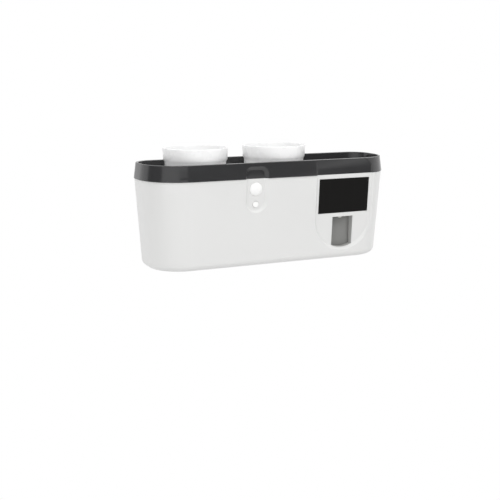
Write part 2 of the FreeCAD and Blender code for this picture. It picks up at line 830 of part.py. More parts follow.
def wall_plate():
    """Plate on the wall with two upturned hooks and two countersunk screw holes."""
    body = new_body("wall_plate")
    sketch = new_sketch(body, "XZ_Plane", level="adhesive_thickness")
    rectangle(sketch, "-plate_width / 2", "plate_width / 2", "-plate_height / 2", "plate_height / 2")
    for side in ("-", "+"):
        circle(sketch, f"{side}({WALL_HOLES}) / 2", "0", "wall_hole_radius")
    pad(body, sketch, "plate_thickness")
    half = value("plate_width / 2")
    soften(body, "plate_corner", lambda edge: abs(edge.BoundBox.Center.x) > half - NEAR
           and edge.BoundBox.ZLength < NEAR)
    front = -value(PLATE_FRONT)
    soften(body, "wall_hole_sink", lambda edge: abs(edge.BoundBox.YMin - front) < NEAR
           and edge.Curve.TypeId == "Part::GeomCircle" and edge.Closed, "Chamfer")
    root = f"-({PLATE_FRONT} - plate_thickness / 2)"
    tip = f"-({PLATE_FRONT} + hook_reach)"
    sketch = new_sketch(body, "YZ_Plane", level="hook_spacing / 2")
    outline(sketch, [
        (root, "hook_arm_low"),
        (root, "hook_arm_top"),
        (f"{tip} + hook_lip", "hook_arm_top"),
        (f"{tip} + hook_lip", "hook_lip_top"),
        (tip, "hook_lip_top"),
        (tip, "hook_arm_low"),
    ])
    hook = pad(body, sketch, "hook_width", both=True)
    mirror(body, [hook])
    return body


def adhesive_pad():
    """Foam tape between the plate and the wall, cut away round the screw holes."""
    body = new_body("adhesive_pad")
    sketch = new_sketch(body, "XZ_Plane")
    rectangle(sketch, "-plate_width / 2 + adhesive_margin", "plate_width / 2 - adhesive_margin",
              "-plate_height / 2 + adhesive_margin", "plate_height / 2 - adhesive_margin")
    for side in ("-", "+"):
        circle(sketch, f"{side}({WALL_HOLES}) / 2", "0", "adhesive_hole_radius")
    pad(body, sketch, "adhesive_thickness")
    return body


def storage_tray():
    """Dark tray: a rim that stands on the housing and a bin with places for cups and tube."""
    body = new_body("storage_tray")
    shell_loft(body, "Additive", ("seam_height + seat_gap", RIM_TOP),
               (f"{HALF} + rim_overhang", "body_depth + rim_overhang",
                "corner_radius + rim_overhang", "back_corner + back_gap - rim_back"),
               "rim_back", RIM_SLOPE)
    shell_loft(body, "Additive", ("seam_height + seat_gap * 2", BIN_BASE),
               (BIN_HALF, BIN_FRONT, BIN_CORNER, BIN_BACK_CORNER), BIN_BACK, SLOPE)
    base = value(BIN_BASE)
    soften(body, "bin_edge + bin_floor", lambda edge: level_edge(edge, base))
    shell_loft(body, "Subtractive", (RIM_TOP, BIN_TOP),
               (f"{BIN_HALF} - bin_wall", f"{BIN_FRONT} - bin_wall",
                f"{BIN_CORNER} - bin_wall", f"{BIN_BACK_CORNER} - bin_wall"),
               f"{BIN_BACK} + bin_wall", SLOPE)
    inner = value(BIN_TOP)
    soften(body, "bin_edge", lambda edge: level_edge(edge, inner))
    top = value(RIM_TOP)
    soften(body, "rim_edge", lambda edge: level_edge(edge, top))
    add_tray_dividers(body)
    cut_sensor_bay(body)
    cut_rim_recesses(body)
    sketch = new_sketch(body, "XY_Plane", level=BIN_TOP)
    circle(sketch, "tongue_x", "-socket_depth", "neck_hole_radius")
    pocket(body, sketch, "bin_floor + overrun")
    return body


def add_tray_dividers(body):
    """Low walls across the bin between the cups, the tube and the store."""
    front = f"-({front_at('divider_top', 'wall + recess_depth + running_gap + bin_wall / 2')})"
    foot = f"-({front_at(BIN_TOP, 'wall + recess_depth + running_gap + bin_wall / 2')})"
    back = f"-({BIN_BACK} + bin_wall / 2)"
    low = f"{BIN_TOP} - bin_floor / 2"
    for x in ("cup_divider_x", "tube_divider_x", "store_divider_x"):
        sketch = new_sketch(body, "YZ_Plane", level=x)
        outline(sketch, [(foot, low), (back, low), (back, "divider_top"), (front, "divider_top")])
        pad(body, sketch, "divider_wall", both=True)


def cut_sensor_bay(body):
    """Upright channel in the bin's front that clears the sensor as the tray lifts."""
    inset = "wall + recess_depth + running_gap + bin_wall / 2"
    top = "seam_height + bin_wall"
    sketch = new_sketch(body, "YZ_Plane", level="pill_x")
    outline(sketch, [
        (f"-({front_at(BIN_BASE, inset)})", BIN_BASE),
        (f"-{BAY_DEPTH} + bin_wall", BIN_BASE),
        (f"-{BAY_DEPTH} + bin_wall", top),
        (f"-({front_at(top, inset)})", top),
    ])
    pad(body, sketch, "(sensor_bay_half + bin_wall) * 2", both=True)
    sketch = new_sketch(body, "XY_Plane", level=BIN_BASE)
    rectangle(sketch, "pill_x - sensor_bay_half", "pill_x + sensor_bay_half",
              "-body_depth - overrun", f"-{BAY_DEPTH}")
    pocket(body, sketch, "bin_depth", reverse=True)


def cut_rim_recesses(body):
    """Carry the housing's two recesses up into the rim's leaning face."""
    sketches = []
    for grow, inset in (("rim_overhang", "0"), ("-recess_depth", "(recess_depth + rim_overhang)")):
        reach = f"(pill_half + {grow})"
        top = f"(pill_top - {inset})"
        bend = f"(pill_top_radius - {inset})"
        sketch = new_sketch(body, "XZ_Plane",
                            level=f"body_depth + rim_overhang - {inset} * cos(rim_taper * 1 deg)",
                            rise=f"seam_height - {inset} * sin(rim_taper * 1 deg)", tilt="-rim_taper")
        outline(sketch, [
            (f"pill_x - {reach}", "-overrun"),
            (f"pill_x + {reach}", "-overrun"),
            (f"pill_x + {reach}", f"{top} - {bend}", "tangent"),
            (f"pill_x + {reach} - {bend}", top),
            (f"pill_x - {reach} + {bend}", top, "tangent"),
            (f"pill_x - {reach}", f"{top} - {bend}"),
        ])
        sketches.append(sketch)
    loft(body, "Subtractive", *sketches)
    recess = body.newObject("PartDesign::SubtractiveWedge", "TongueInRim")
    recess.Placement.Rotation = FreeCAD.Rotation(FreeCAD.Vector(1, 0, 0), -value("rim_taper"))
    sink = "(recess_depth + rim_overhang)"
    rise = "(rim_height / cos(rim_taper * 1 deg))"
    lead = "rim_overhang"
    climb = f"(({rise} - tongue_rim_floor) / {sink})"
    bind(recess, Placement__Base__x="tongue_x", Placement__Base__y="-body_depth - rim_overhang",
         Placement__Base__z="seam_height",
         Ymin=f"-{lead}", Ymax=sink,
         Xmin=f"-tongue_half - rim_overhang - {lead}", Xmax=f"tongue_half + rim_overhang + {lead}",
         X2min="-tongue_half + recess_depth", X2max="tongue_half - recess_depth",
         Zmin="-overrun", Z2min="-overrun",
         Zmax=f"{rise} + {lead} * {climb}", Z2max="tongue_rim_floor")
    doc.recompute()


def cup(label, x):
    """Tapered drinking cup with a rounded lip and a hollow foot."""
    body = new_body(label)
    draft = "tan(cup_draft * 1 deg)"
    foot = f"({CUP_RADIUS} - cup_height * {draft})"
    inner = f"({foot} - cup_wall + cup_floor * {draft})"
    revolve(body, [
        ("0", "cup_edge"),
        (f"{foot} - cup_foot * 2", "cup_edge"),
        (f"{foot} - cup_foot * 2", "0"),
        (foot, "0"),
        (CUP_RADIUS, "cup_height"),
        (f"{CUP_RADIUS} - cup_wall", "cup_height"),
        (inner, "cup_floor"),
        ("0", "cup_floor"),
    ])
    lip = value("cup_height")
    floor = value("cup_floor")
    outer = value(foot)
    soften(body, "cup_edge", lambda edge: level_edge(edge, lip))
    soften(body, "cup_foot", lambda edge: level_edge(edge, floor)
           or level_edge(edge, 0) and edge.BoundBox.XMax > outer - NEAR)
    put(body, x, CUP_DEPTH, f"{BIN_TOP} + seat_gap")
    return body


def brush_rack():
    """Insert in the housing's floor with a row of keyhole slots for brush necks."""
    body = new_body("brush_rack")
    sketch = new_sketch(body, "XY_Plane", level=FLOOR)
    rectangle(sketch, "rack_left + rack_gap", "rack_right - rack_gap",
              f"-{RACK_FRONT} + rack_gap", "-rack_back - rack_gap")
    pad(body, sketch, "wall + rack_thickness")
    sketch = new_sketch(body, "XY_Plane", level=f"{FLOOR_TOP} + screw_gap")
    rectangle(sketch, "rack_left - rack_flange", "rack_right + rack_flange",
              f"-{RACK_FRONT} - rack_flange", "-rack_back + rack_flange")
    pad(body, sketch, "rack_thickness - screw_gap")
    ends = [value("rack_left - rack_flange"), value("rack_right + rack_flange")]
    soften(body, "rack_corner", lambda edge: edge.BoundBox.YLength < NEAR
           and min(abs(edge.BoundBox.XMin - end) + edge.BoundBox.XLength for end in ends) < NEAR)
    top = value(f"{FLOOR_TOP} + rack_thickness")
    rows = [("thick_slot_start", "thick_slot_pitch", "thick_slot", 2),
            ("thin_slot_start", "thin_slot_pitch", "thin_slot", 3)]
    heads = new_sketch(body, "XY_Plane", level=f"{FLOOR_TOP} + rack_thickness")
    for start, pitch, width, count in rows:
        for place in range(count):
            circle(heads, f"{start} + {pitch} * {place}", f"-{SLOT_DEPTH} - slot_length / 2", "head_radius")
    pocket(body, heads, "wall + rack_thickness + overrun")
    necks = new_sketch(body, "XY_Plane", level=f"{FLOOR_TOP} + rack_thickness")
    for start, pitch, width, count in rows:
        for place in range(count):
            x = f"({start} + {pitch} * {place})"
            end = f"-{SLOT_DEPTH} + slot_length / 2 + {width} / 2"
            outline(necks, [
                (f"{x} - {width} / 2", f"-{SLOT_DEPTH} - slot_length / 2"),
                (f"{x} + {width} / 2", f"-{SLOT_DEPTH} - slot_length / 2"),
                (f"{x} + {width} / 2", end, "tangent"),
                (f"{x} - {width} / 2", end),
            ])
    pocket(body, necks, "wall + rack_thickness + overrun")
    soften(body, "slot_bevel", lambda edge: level_edge(edge, top)
           and edge.BoundBox.DiagonalLength < value("slot_length * 2"), "Chamfer")
    return body


def chamber_divider():
    """Upright wall between the brush chamber and the dispenser."""
    body = new_body("chamber_divider")
    low = f"{FLOOR_TOP} + rack_thickness + cover_gap"
    top = f"{BIN_BASE} - running_gap"
    inset = "wall + recess_depth + running_gap"
    sketch = new_sketch(body, "YZ_Plane", level="divider_x")
    outline(sketch, [
        (f"-({front_at(low, inset)})", low),
        (f"-({COVER_INNER} + cover_gap)", low),
        (f"-({COVER_INNER} + cover_gap)", top),
        (f"-({front_at(top, inset)})", top),
    ])
    pad(body, sketch, "divider_thickness", both=True)
    return body


def reflector_panel():
    """Folded bright sheet behind the light board."""
    body = new_body("reflector_panel")
    back = f"-({COVER_INNER} + screw_gap)"
    face = f"-({COVER_INNER} + screw_gap + reflector_sheet)"
    edge = f"-({COVER_INNER} + screw_gap + reflector_lip)"
    sketch = new_sketch(body, "YZ_Plane", level="(reflector_left + reflector_right) / 2")
    outline(sketch, [
        (back, "reflector_low"),
        (back, "reflector_top"),
        (edge, "reflector_top + reflector_flare"),
        (edge, "reflector_top + reflector_flare - reflector_sheet"),
        (face, "reflector_top - reflector_sheet"),
        (face, "reflector_low + reflector_sheet"),
        (edge, "reflector_low - reflector_flare + reflector_sheet"),
        (edge, "reflector_low - reflector_flare"),
    ])
    pad(body, sketch, "reflector_right - reflector_left", both=True)
    sketch = new_sketch(body, "XZ_Plane", level=COVER_INNER)
    for x in ("light_screw_left", "light_screw_right"):
        circle(sketch, x, "(reflector_low + reflector_top) / 2", "small_screw_radius + screw_gap")
    pocket(body, sketch, "overrun / 2", reverse=True)
    return body


LIGHT_BACK = f"({COVER_INNER} + screw_gap * 2 + reflector_sheet)"
LIGHT_FRONT = f"({LIGHT_BACK} + board_thickness)"
LIGHT_HEIGHT = "(reflector_low + reflector_top) / 2"


def light_pieces():
    """Strip board with one diode above each brush slot, and the screws that hold it."""
    board = new_body("light_board")
    sketch = new_sketch(board, "XZ_Plane", level=LIGHT_BACK)
    rectangle(sketch, "light_board_left", "light_board_right",
              f"{LIGHT_HEIGHT} - light_board_height / 2", f"{LIGHT_HEIGHT} + light_board_height / 2")
    for x in ("light_screw_left", "light_screw_right"):
        circle(sketch, x, LIGHT_HEIGHT, "small_screw_radius + screw_gap")
    pad(board, sketch, "board_thickness")
    diode = new_body("LightDiode", node=False)
    sketch = new_sketch(diode, "XY_Plane")
    rectangle(sketch, "-diode_size / 2", "diode_size / 2", "-diode_size / 2", "diode_size / 2")
    pad(diode, sketch, "diode_height")
    revolve(diode, [
        ("0", "diode_height / 2"),
        ("diode_dome", "diode_height / 2"),
        ("diode_dome", "diode_height", "tangent"),
        ("0", "diode_height + diode_dome"),
    ])
    put(diode, "0", "0", "0", "90")
    spots = [f"thick_slot_start + thick_slot_pitch * {place}" for place in range(2)]
    spots += [f"thin_slot_start + thin_slot_pitch * {place}" for place in range(3)]
    group("light_diodes", diode, [(x, LIGHT_FRONT, LIGHT_HEIGHT) for x in spots])
    pattern = screw_pattern("LightScrew", "small_screw_radius - screw_gap / 2", "small_head_radius",
                            "small_head_height", "board_thickness + reflector_sheet + wall", "90")
    group("light_board_screws", pattern,
          [(x, LIGHT_FRONT, LIGHT_HEIGHT) for x in ("light_screw_left", "light_screw_right")])


def solar_pieces():
    """Solar cell in the tongue's floor under a dark window."""
    for label, sunk, thickness in (("solar_window", "window_thickness", "window_thickness"),
                                   ("solar_cell", "window_thickness + cell_thickness", "cell_thickness")):
        body = new_body(label)
        sketch = new_sketch(body, "XY_Plane", level=f"-({sunk})")
        rectangle(sketch, "-panel_width / 2", "panel_width / 2", "-panel_height / 2", "panel_height / 2")
        pad(body, sketch, thickness)
        on_face(body, "tongue_x", "panel_drop")


def sensor_pieces():
    """Motion-sensor lens, its can and board, and the mode button over its switch."""
    lens = new_body("sensor_lens")
    back = "(wall + screw_gap)"
    revolve(lens, [
        ("0", f"-{back} - flange_thickness"),
        ("lens_radius + lens_flange", f"-{back} - flange_thickness"),
        ("lens_radius + lens_flange", f"-{back}"),
        ("lens_radius", f"-{back}"),
        ("lens_radius", "lens_rise", dome_radius("lens_radius", "lens_dome")),
        ("0", "lens_rise + lens_dome"),
    ])
    on_face(lens, "pill_x", "lens_drop")
    can = new_body("sensor_can")
    flange = "sensor_can_radius + sensor_can_flange"
    revolve(can, [
        ("0", "-sensor_board_set"),
        (flange, "-sensor_board_set"),
        (flange, "-sensor_board_set + sensor_can_flange"),
        ("sensor_can_radius", "-sensor_board_set + sensor_can_flange"),
        ("sensor_can_radius", "-sensor_board_set + sensor_can_height"),
        ("0", "-sensor_board_set + sensor_can_height"),
    ])
    on_face(can, "pill_x", "lens_drop")
    board = new_body("sensor_board")
    middle = "(sensor_board_top + sensor_board_low) / 2"
    sketch = new_sketch(board, "XY_Plane", level="-sensor_board_set")
    rectangle(sketch, "-sensor_board_half", "sensor_board_half",
              f"{middle} - sensor_board_low", f"{middle} - sensor_board_top")
    circle(sketch, "-sensor_post_offset", f"{middle} - sensor_post_high", "small_screw_radius + screw_gap")
    circle(sketch, "sensor_post_offset", f"{middle} - sensor_post_low", "small_screw_radius + screw_gap")
    pad(board, sketch, "board_thickness", reverse=True)
    on_face(board, "pill_x", middle)
    sensor_board_screws()


def sensor_board_screws():
    """Two small screws through the sensor board into the housing's posts."""
    pattern = screw_pattern("SensorScrew", "small_screw_radius - screw_gap / 2", "small_head_radius",
                            "small_head_height", "board_thickness + wall * 2", "-90 + body_taper")
    inset = f"({BOARD_SET} + board_thickness)"
    places = []
    for x, drop in (("pill_x - sensor_post_offset", "sensor_post_high"),
                    ("pill_x + sensor_post_offset", "sensor_post_low")):
        depth = f"body_depth - {drop} * {FACE_SIN} - {inset} * {FACE_COS}"
        level = f"seam_height - {drop} * {FACE_COS} + {inset} * {FACE_SIN}"
        places.append((x, depth, level))
    group("sensor_board_screws", pattern, places)


def button_pieces():
    """Mode button, held in its hole by a flange, over a small switch on the sensor board."""
    button = new_body("mode_button")
    back = "(wall + screw_gap)"
    tip = "sensor_board_set - switch_height - button_travel - screw_gap"
    revolve(button, [
        ("0", f"-({tip})"),
        ("button_stem", f"-({tip})"),
        ("button_stem", f"-{back} - flange_thickness"),
        ("button_radius + lens_flange", f"-{back} - flange_thickness"),
        ("button_radius + lens_flange", f"-{back}"),
        ("button_radius", f"-{back}"),
        ("button_radius", "button_rise - button_edge", "tangent"),
        ("button_radius - button_edge", "button_rise"),
        ("0", "button_rise"),
    ])
    on_face(button, "pill_x", "button_drop")
    switch = new_body("button_switch")
    sketch = new_sketch(switch, "XY_Plane", level="-sensor_board_set")
    rectangle(sketch, "-switch_size / 2", "switch_size / 2", "-switch_size / 2", "switch_size / 2")
    pad(switch, sketch, "switch_height * switch_case_share")
    sketch = new_sketch(switch, "XY_Plane", level="-sensor_board_set")
    circle(sketch, "0", "0", "button_stem")
    pad(switch, sketch, "switch_height")
    on_face(switch, "pill_x", "button_drop")


def dispenser_frame():
    """Open box that carries the pump, with a drilled roof and two ears screwed to the housing."""
    body = new_body("dispenser_frame")
    inner = "(frame_half - frame_wall)"
    sketch = new_sketch(body, "XZ_Plane", level=FRAME_FRONT)
    rectangle(sketch, "tongue_x - frame_half", "tongue_x + frame_half", "frame_low", "frame_top")
    rectangle(sketch, f"tongue_x - {inner}", f"tongue_x + {inner}", "frame_low + frame_floor", ROOF_LOW)
    pad(body, sketch, f"{FRAME_FRONT} - frame_back", reverse=True)
    sketch = new_sketch(body, "XZ_Plane", level=ROOF_FRONT)
    rectangle(sketch, "tongue_x - frame_nose", "tongue_x + frame_nose", ROOF_LOW, "frame_top")
    pad(body, sketch, f"{ROOF_FRONT} - {FRAME_FRONT} + frame_wall", reverse=True)
    for side in ("-", "+"):
        root = f"tongue_x {side} frame_half {side} (-frame_wall / 2)"
        tip = f"tongue_x {side} frame_half {side} ear_reach"
        hole = f"tongue_x {side} frame_half {side} ear_reach / 2"
        left, right = (tip, root) if side == "-" else (root, tip)
        sketch = new_sketch(body, "XZ_Plane", level=FRAME_FRONT)
        rectangle(sketch, left, right, "pump_height - ear_half", "pump_height + ear_half")
        circle(sketch, hole, "pump_height", "small_screw_radius + screw_gap")
        pad(body, sketch, "ear_thickness", reverse=True)
    sketch = new_sketch(body, "XY_Plane", level="frame_low")
    for depth in (f"{FRAME_FRONT} - frame_foot", "frame_back + frame_foot"):
        rectangle(sketch, "tongue_x - frame_half", "tongue_x + frame_half",
                  f"-({depth}) - frame_foot / 2", f"-({depth}) + frame_foot / 2")
    pad(body, sketch, f"frame_low - {FLOOR_TOP} - seat_gap", reverse=True)
    drill_frame(body)
    return body


def drill_frame(body):
    """Paste ways in the roof: in under the tube, and forward and across to the nozzle."""
    sketch = new_sketch(body, "XY_Plane", level="frame_top")
    circle(sketch, "tongue_x", "-socket_depth", "inlet_radius")
    pocket(body, sketch, "frame_roof")
    sketch = new_sketch(body, "XY_Plane", level=ROOF_LOW)
    circle(sketch, "tongue_x", f"-{NOZZLE_DEPTH}", "nozzle_flange_radius + screw_gap")
    pocket(body, sketch, "nozzle_flange", reverse=True)
    sketch = new_sketch(body, "XY_Plane", level=ROOF_LOW)
    circle(sketch, "tongue_x + outlet_offset", "-socket_depth", "cross_drill_radius")
    pocket(body, sketch, "frame_roof / 2", reverse=True)
    middle = f"{ROOF_LOW} + frame_roof / 2"
    sketch = new_sketch(body, "XZ_Plane", level=NOZZLE_DEPTH)
    circle(sketch, "tongue_x + outlet_offset", middle, "outlet_radius")
    pocket(body, sketch, f"{NOZZLE_DEPTH} - socket_depth + outlet_radius")
    sketch = new_sketch(body, "YZ_Plane", level="tongue_x")
    circle(sketch, f"-{NOZZLE_DEPTH}", middle, "cross_drill_radius")
    pocket(body, sketch, "outlet_offset", reverse=True)


def frame_screws():
    """Two small screws through the frame's ears into the housing's posts."""
    pattern = screw_pattern("FrameScrew", "small_screw_radius - screw_gap / 2", "small_head_radius",
                            "small_head_height", "ear_thickness + wall", "-90")
    group("frame_screws", pattern,
          [(f"tongue_x {side} frame_half {side} ear_reach / 2",
            f"{FRAME_FRONT} - ear_thickness", "pump_height")
           for side in ("-", "+")])


def pump_base():
    """Block behind the bellows: paste enters from above, leaves upwards, and two rods seat in it."""
    body = new_body("pump_base")
    sketch = new_sketch(body, "XZ_Plane", level="base_front")
    rectangle(sketch, "tongue_x - base_half", "tongue_x + base_half", "base_low", ROOF_LOW)
    pad(body, sketch, "base_front - base_back", reverse=True)
    sketch = new_sketch(body, "XZ_Plane", level="base_front")
    circle(sketch, "tongue_x", "pump_height", "port_radius")
    pocket(body, sketch, "base_front - socket_depth + port_radius")
    sketch = new_sketch(body, "XZ_Plane", level="base_front")
    for side in ("-", "+"):
        circle(sketch, f"tongue_x {side} rod_offset", "pump_height", "rod_radius + rod_gap / 2")
    pocket(body, sketch, "rod_seat")
    down = f"{ROOF_LOW} - pump_height"
    for x, radius, depth in (("tongue_x", "inlet_radius", down),
                             ("tongue_x", "valve_radius + screw_gap", "valve_thickness + seat_gap"),
                             ("tongue_x + outlet_offset", "outlet_radius", f"{down} + outlet_radius")):
        sketch = new_sketch(body, "XY_Plane", level=ROOF_LOW)
        circle(sketch, x, "-socket_depth", radius)
        pocket(body, sketch, depth)
    sketch = new_sketch(body, "YZ_Plane", level="tongue_x")
    circle(sketch, "-socket_depth", "pump_height", "cross_drill_radius")
    pocket(body, sketch, "outlet_offset", reverse=True)
    return body


def paste_pieces():
    """Soft pieces in the paste's way: socket for the tube's neck, its ring, valve and nozzle."""
    socket = new_body("tube_socket")
    revolve(socket, [
        ("socket_bore", "0"),
        ("socket_radius", "0"),
        ("socket_radius", "socket_height"),
        ("socket_mouth", "socket_height"),
        ("socket_bore", "socket_height / 2"),
    ])
    put(socket, "tongue_x", "socket_depth", "frame_top")
    ring = new_body("socket_ring")
    revolve(ring, [
        ("socket_radius + screw_gap", "0"),
        ("ring_radius", "0"),
        ("ring_radius", "ring_height"),
        ("socket_radius + screw_gap", "ring_height"),
    ])
    sketch = new_sketch(ring, "XY_Plane", level="ring_height")
    circle(sketch, "ring_radius + ring_notch_radius / 2", "0", "ring_notch_radius")
    notch = pocket(ring, sketch, "ring_height * ring_notch_share")
    notches = ring.newObject("PartDesign::PolarPattern", "RingNotches")
    notches.Originals = [notch]
    notches.Axis = (next(item for item in ring.Origin.OriginFeatures if item.Role == "Z_Axis"), [""])
    notches.Angle = 360
    bind(notches, Occurrences="ring_notches")
    ring.Tip = notches
    put(ring, "tongue_x", "socket_depth", "frame_top")
    valve = new_body("inlet_valve")
    revolve(valve, [
        ("0", "0"),
        ("valve_radius", "0"),
        ("valve_radius", "valve_thickness"),
        ("0", "valve_thickness"),
    ])
    put(valve, "tongue_x", "socket_depth", f"{ROOF_LOW} - valve_thickness - seat_gap")
    nozzle = new_body("outlet_nozzle")
    end = "-(nozzle_flange + nozzle_length)"
    revolve(nozzle, [
        ("nozzle_bore", end),
        ("nozzle_tip_radius", end),
        ("nozzle_radius", "-nozzle_flange - nozzle_length / 2"),
        ("nozzle_radius", "-nozzle_flange"),
        ("nozzle_flange_radius", "-nozzle_flange"),
        ("nozzle_flange_radius", "0"),
        ("nozzle_bore", "0"),
    ])
    put(nozzle, "tongue_x", NOZZLE_DEPTH, f"{ROOF_LOW} + nozzle_flange")


def pump_bellows():
    """Folded soft tube between the paddle's plunger and the pump base."""
    body = new_body("pump_bellows")
    folds = SIZES["bellows_folds"]
    length = f"({PLUNGER_BACK} - base_front)"
    pitch = f"(({length} - bellows_collar * 2) / bellows_folds)"
    outer = [("bellows_root", "0"), ("bellows_root", "bellows_collar")]
    inner = [("bellows_root - bellows_wall", "bellows_collar")]
    for fold in range(folds):
        crest = f"bellows_collar + {pitch} * {fold} + {pitch} / 2"
        root = f"bellows_collar + {pitch} * {fold + 1}"
        outer += [("bellows_radius", crest), ("bellows_root", root)]
        inner += [("bellows_radius - bellows_crest", crest), ("bellows_root - bellows_wall", root)]
    outer.append(("bellows_root", length))
    inner.append(("bellows_root - bellows_wall", length))
    revolve(body, [("0", "0")] + outer + inner[::-1] + [("0", "bellows_collar")])
    put(body, "tongue_x", PLUNGER_BACK, "pump_height", "-90")
    return body


def push_paddle():
    """Plate behind the mouth that a brush head pushes back, with a plunger and two guide lugs."""
    body = new_body("push_paddle")
    sketch = new_sketch(body, "XZ_Plane", level=PADDLE_FRONT)
    rectangle(sketch, "tongue_x - paddle_half", "tongue_x + paddle_half", "paddle_low", "paddle_top")
    pad(body, sketch, "paddle_thickness", reverse=True)
    sketch = new_sketch(body, "XY_Plane", level="paddle_top + overrun")
    circle(sketch, "tongue_x", f"-{PADDLE_FRONT} + paddle_dish - paddle_dish_radius", "paddle_dish_radius")
    pocket(body, sketch, "paddle_top - paddle_low + overrun * 2")
    sketch = new_sketch(body, "XZ_Plane", level=f"{PADDLE_FRONT} - paddle_thickness / 2")
    circle(sketch, "tongue_x", "pump_height", "plunger_radius")
    pad(body, sketch, "plunger_length + paddle_thickness / 2", reverse=True)
    sketch = new_sketch(body, "XZ_Plane", level=f"{PADDLE_FRONT} - paddle_thickness / 2")
    for side in ("-", "+"):
        circle(sketch, f"tongue_x {side} rod_offset", "pump_height", "lug_radius")
    pad(body, sketch, "lug_length + paddle_thickness / 2", reverse=True)
    sketch = new_sketch(body, "XZ_Plane", level=PADDLE_FRONT)
    for side in ("-", "+"):
        circle(sketch, f"tongue_x {side} rod_offset", "pump_height", "rod_radius + rod_gap")
    pocket(body, sketch, "lug_length + paddle_thickness * 2")
    return body


def guide_rods():
    """Steel rods that the paddle's lugs slide on."""
    rod = new_body("GuideRod", node=False)
    length = f"({ROD_FRONT} - base_front + rod_seat - screw_gap)"
    revolve(rod, [
        ("0", "0"),
        ("rod_radius - rod_bevel", "0"),
        ("rod_radius", "rod_bevel"),
        ("rod_radius", f"{length} - rod_bevel"),
        ("rod_radius - rod_bevel", length),
        ("0", length),
    ])
    put(rod, "0", "0", "0", "-90")
    group("guide_rods", rod,
          [(f"tongue_x {side} rod_offset", ROD_FRONT, "pump_height") for side in ("-", "+")])


def arc_on(start, tangent, end):
    """Arc edge that leaves a point along a tangent and ends at another point."""
    chord = end - start
    across = chord - tangent * chord.dot(tangent)
    across.normalize()
    centre = start + across * (chord.dot(chord) / (2 * chord.dot(across)))
    middle = (start - centre).normalize() + (end - centre).normalize()
    return Part.Arc(start, centre + middle.normalize() * (start - centre).Length, end).toShape()


def return_springs():
    """Two helical springs on the rods, each one tube along pairs of arcs per quarter turn."""
    radius = value("spring_radius")
    wire = value("spring_wire")
    turns = SIZES["spring_turns"]
    first = value("spring_wire + screw_gap")
    rise = value(f"{LUG_BACK} - base_front - (spring_wire + screw_gap) * 2") / turns
    slope = rise / (2 * math.pi)

    def point(angle):
        return FreeCAD.Vector(radius * math.cos(angle), radius * math.sin(angle), first + slope * angle)

    def heading(angle):
        return FreeCAD.Vector(-radius * math.sin(angle), radius * math.cos(angle), slope).normalize()

    edges = []
    for step in range(turns * 4):
        begin, finish = step * math.pi / 2, (step + 1) * math.pi / 2
        chord = point(finish) - point(begin)
        sway = heading(begin) + heading(finish)
        bend = 2 * (1 - heading(begin).dot(heading(finish)))
        reach = (math.sqrt(chord.dot(sway) ** 2 + bend * chord.dot(chord)) - chord.dot(sway)) / bend
        joint = (point(begin) + point(finish) + (heading(begin) - heading(finish)) * reach) / 2
        edges.append(arc_on(point(begin), heading(begin), joint))
        back = arc_on(point(finish), heading(finish) * -1, joint)
        edges.append(back.reversed())
    path = Part.Wire(edges)
    section = Part.Wire(Part.makeCircle(wire, point(0), heading(0)))
    shell = Part.BRepOffsetAPI.MakePipeShell(path)
    shell.add(section)
    shell.build()
    shell.makeSolid()
    tube = shell.shape()
    print(f"return_springs: least gap to itself {rise - 2 * wire:.2f} mm")
    turned = FreeCAD.Rotation(FreeCAD.Vector(1, 0, 0), -90)
    springs = []
    for side in ("-", "+"):
        copy = tube.copy()
        spot = FreeCAD.Vector(value(f"tongue_x {side} rod_offset"), -value(LUG_BACK), value("pump_height"))
        copy.Placement = FreeCAD.Placement(spot, turned) * copy.Placement
        springs.append(copy)
    node = doc.addObject("Part::Feature", "return_springs")
    node.Label = "return_springs"
    node.Shape = Part.makeCompound(springs)
    NODES.append(node)


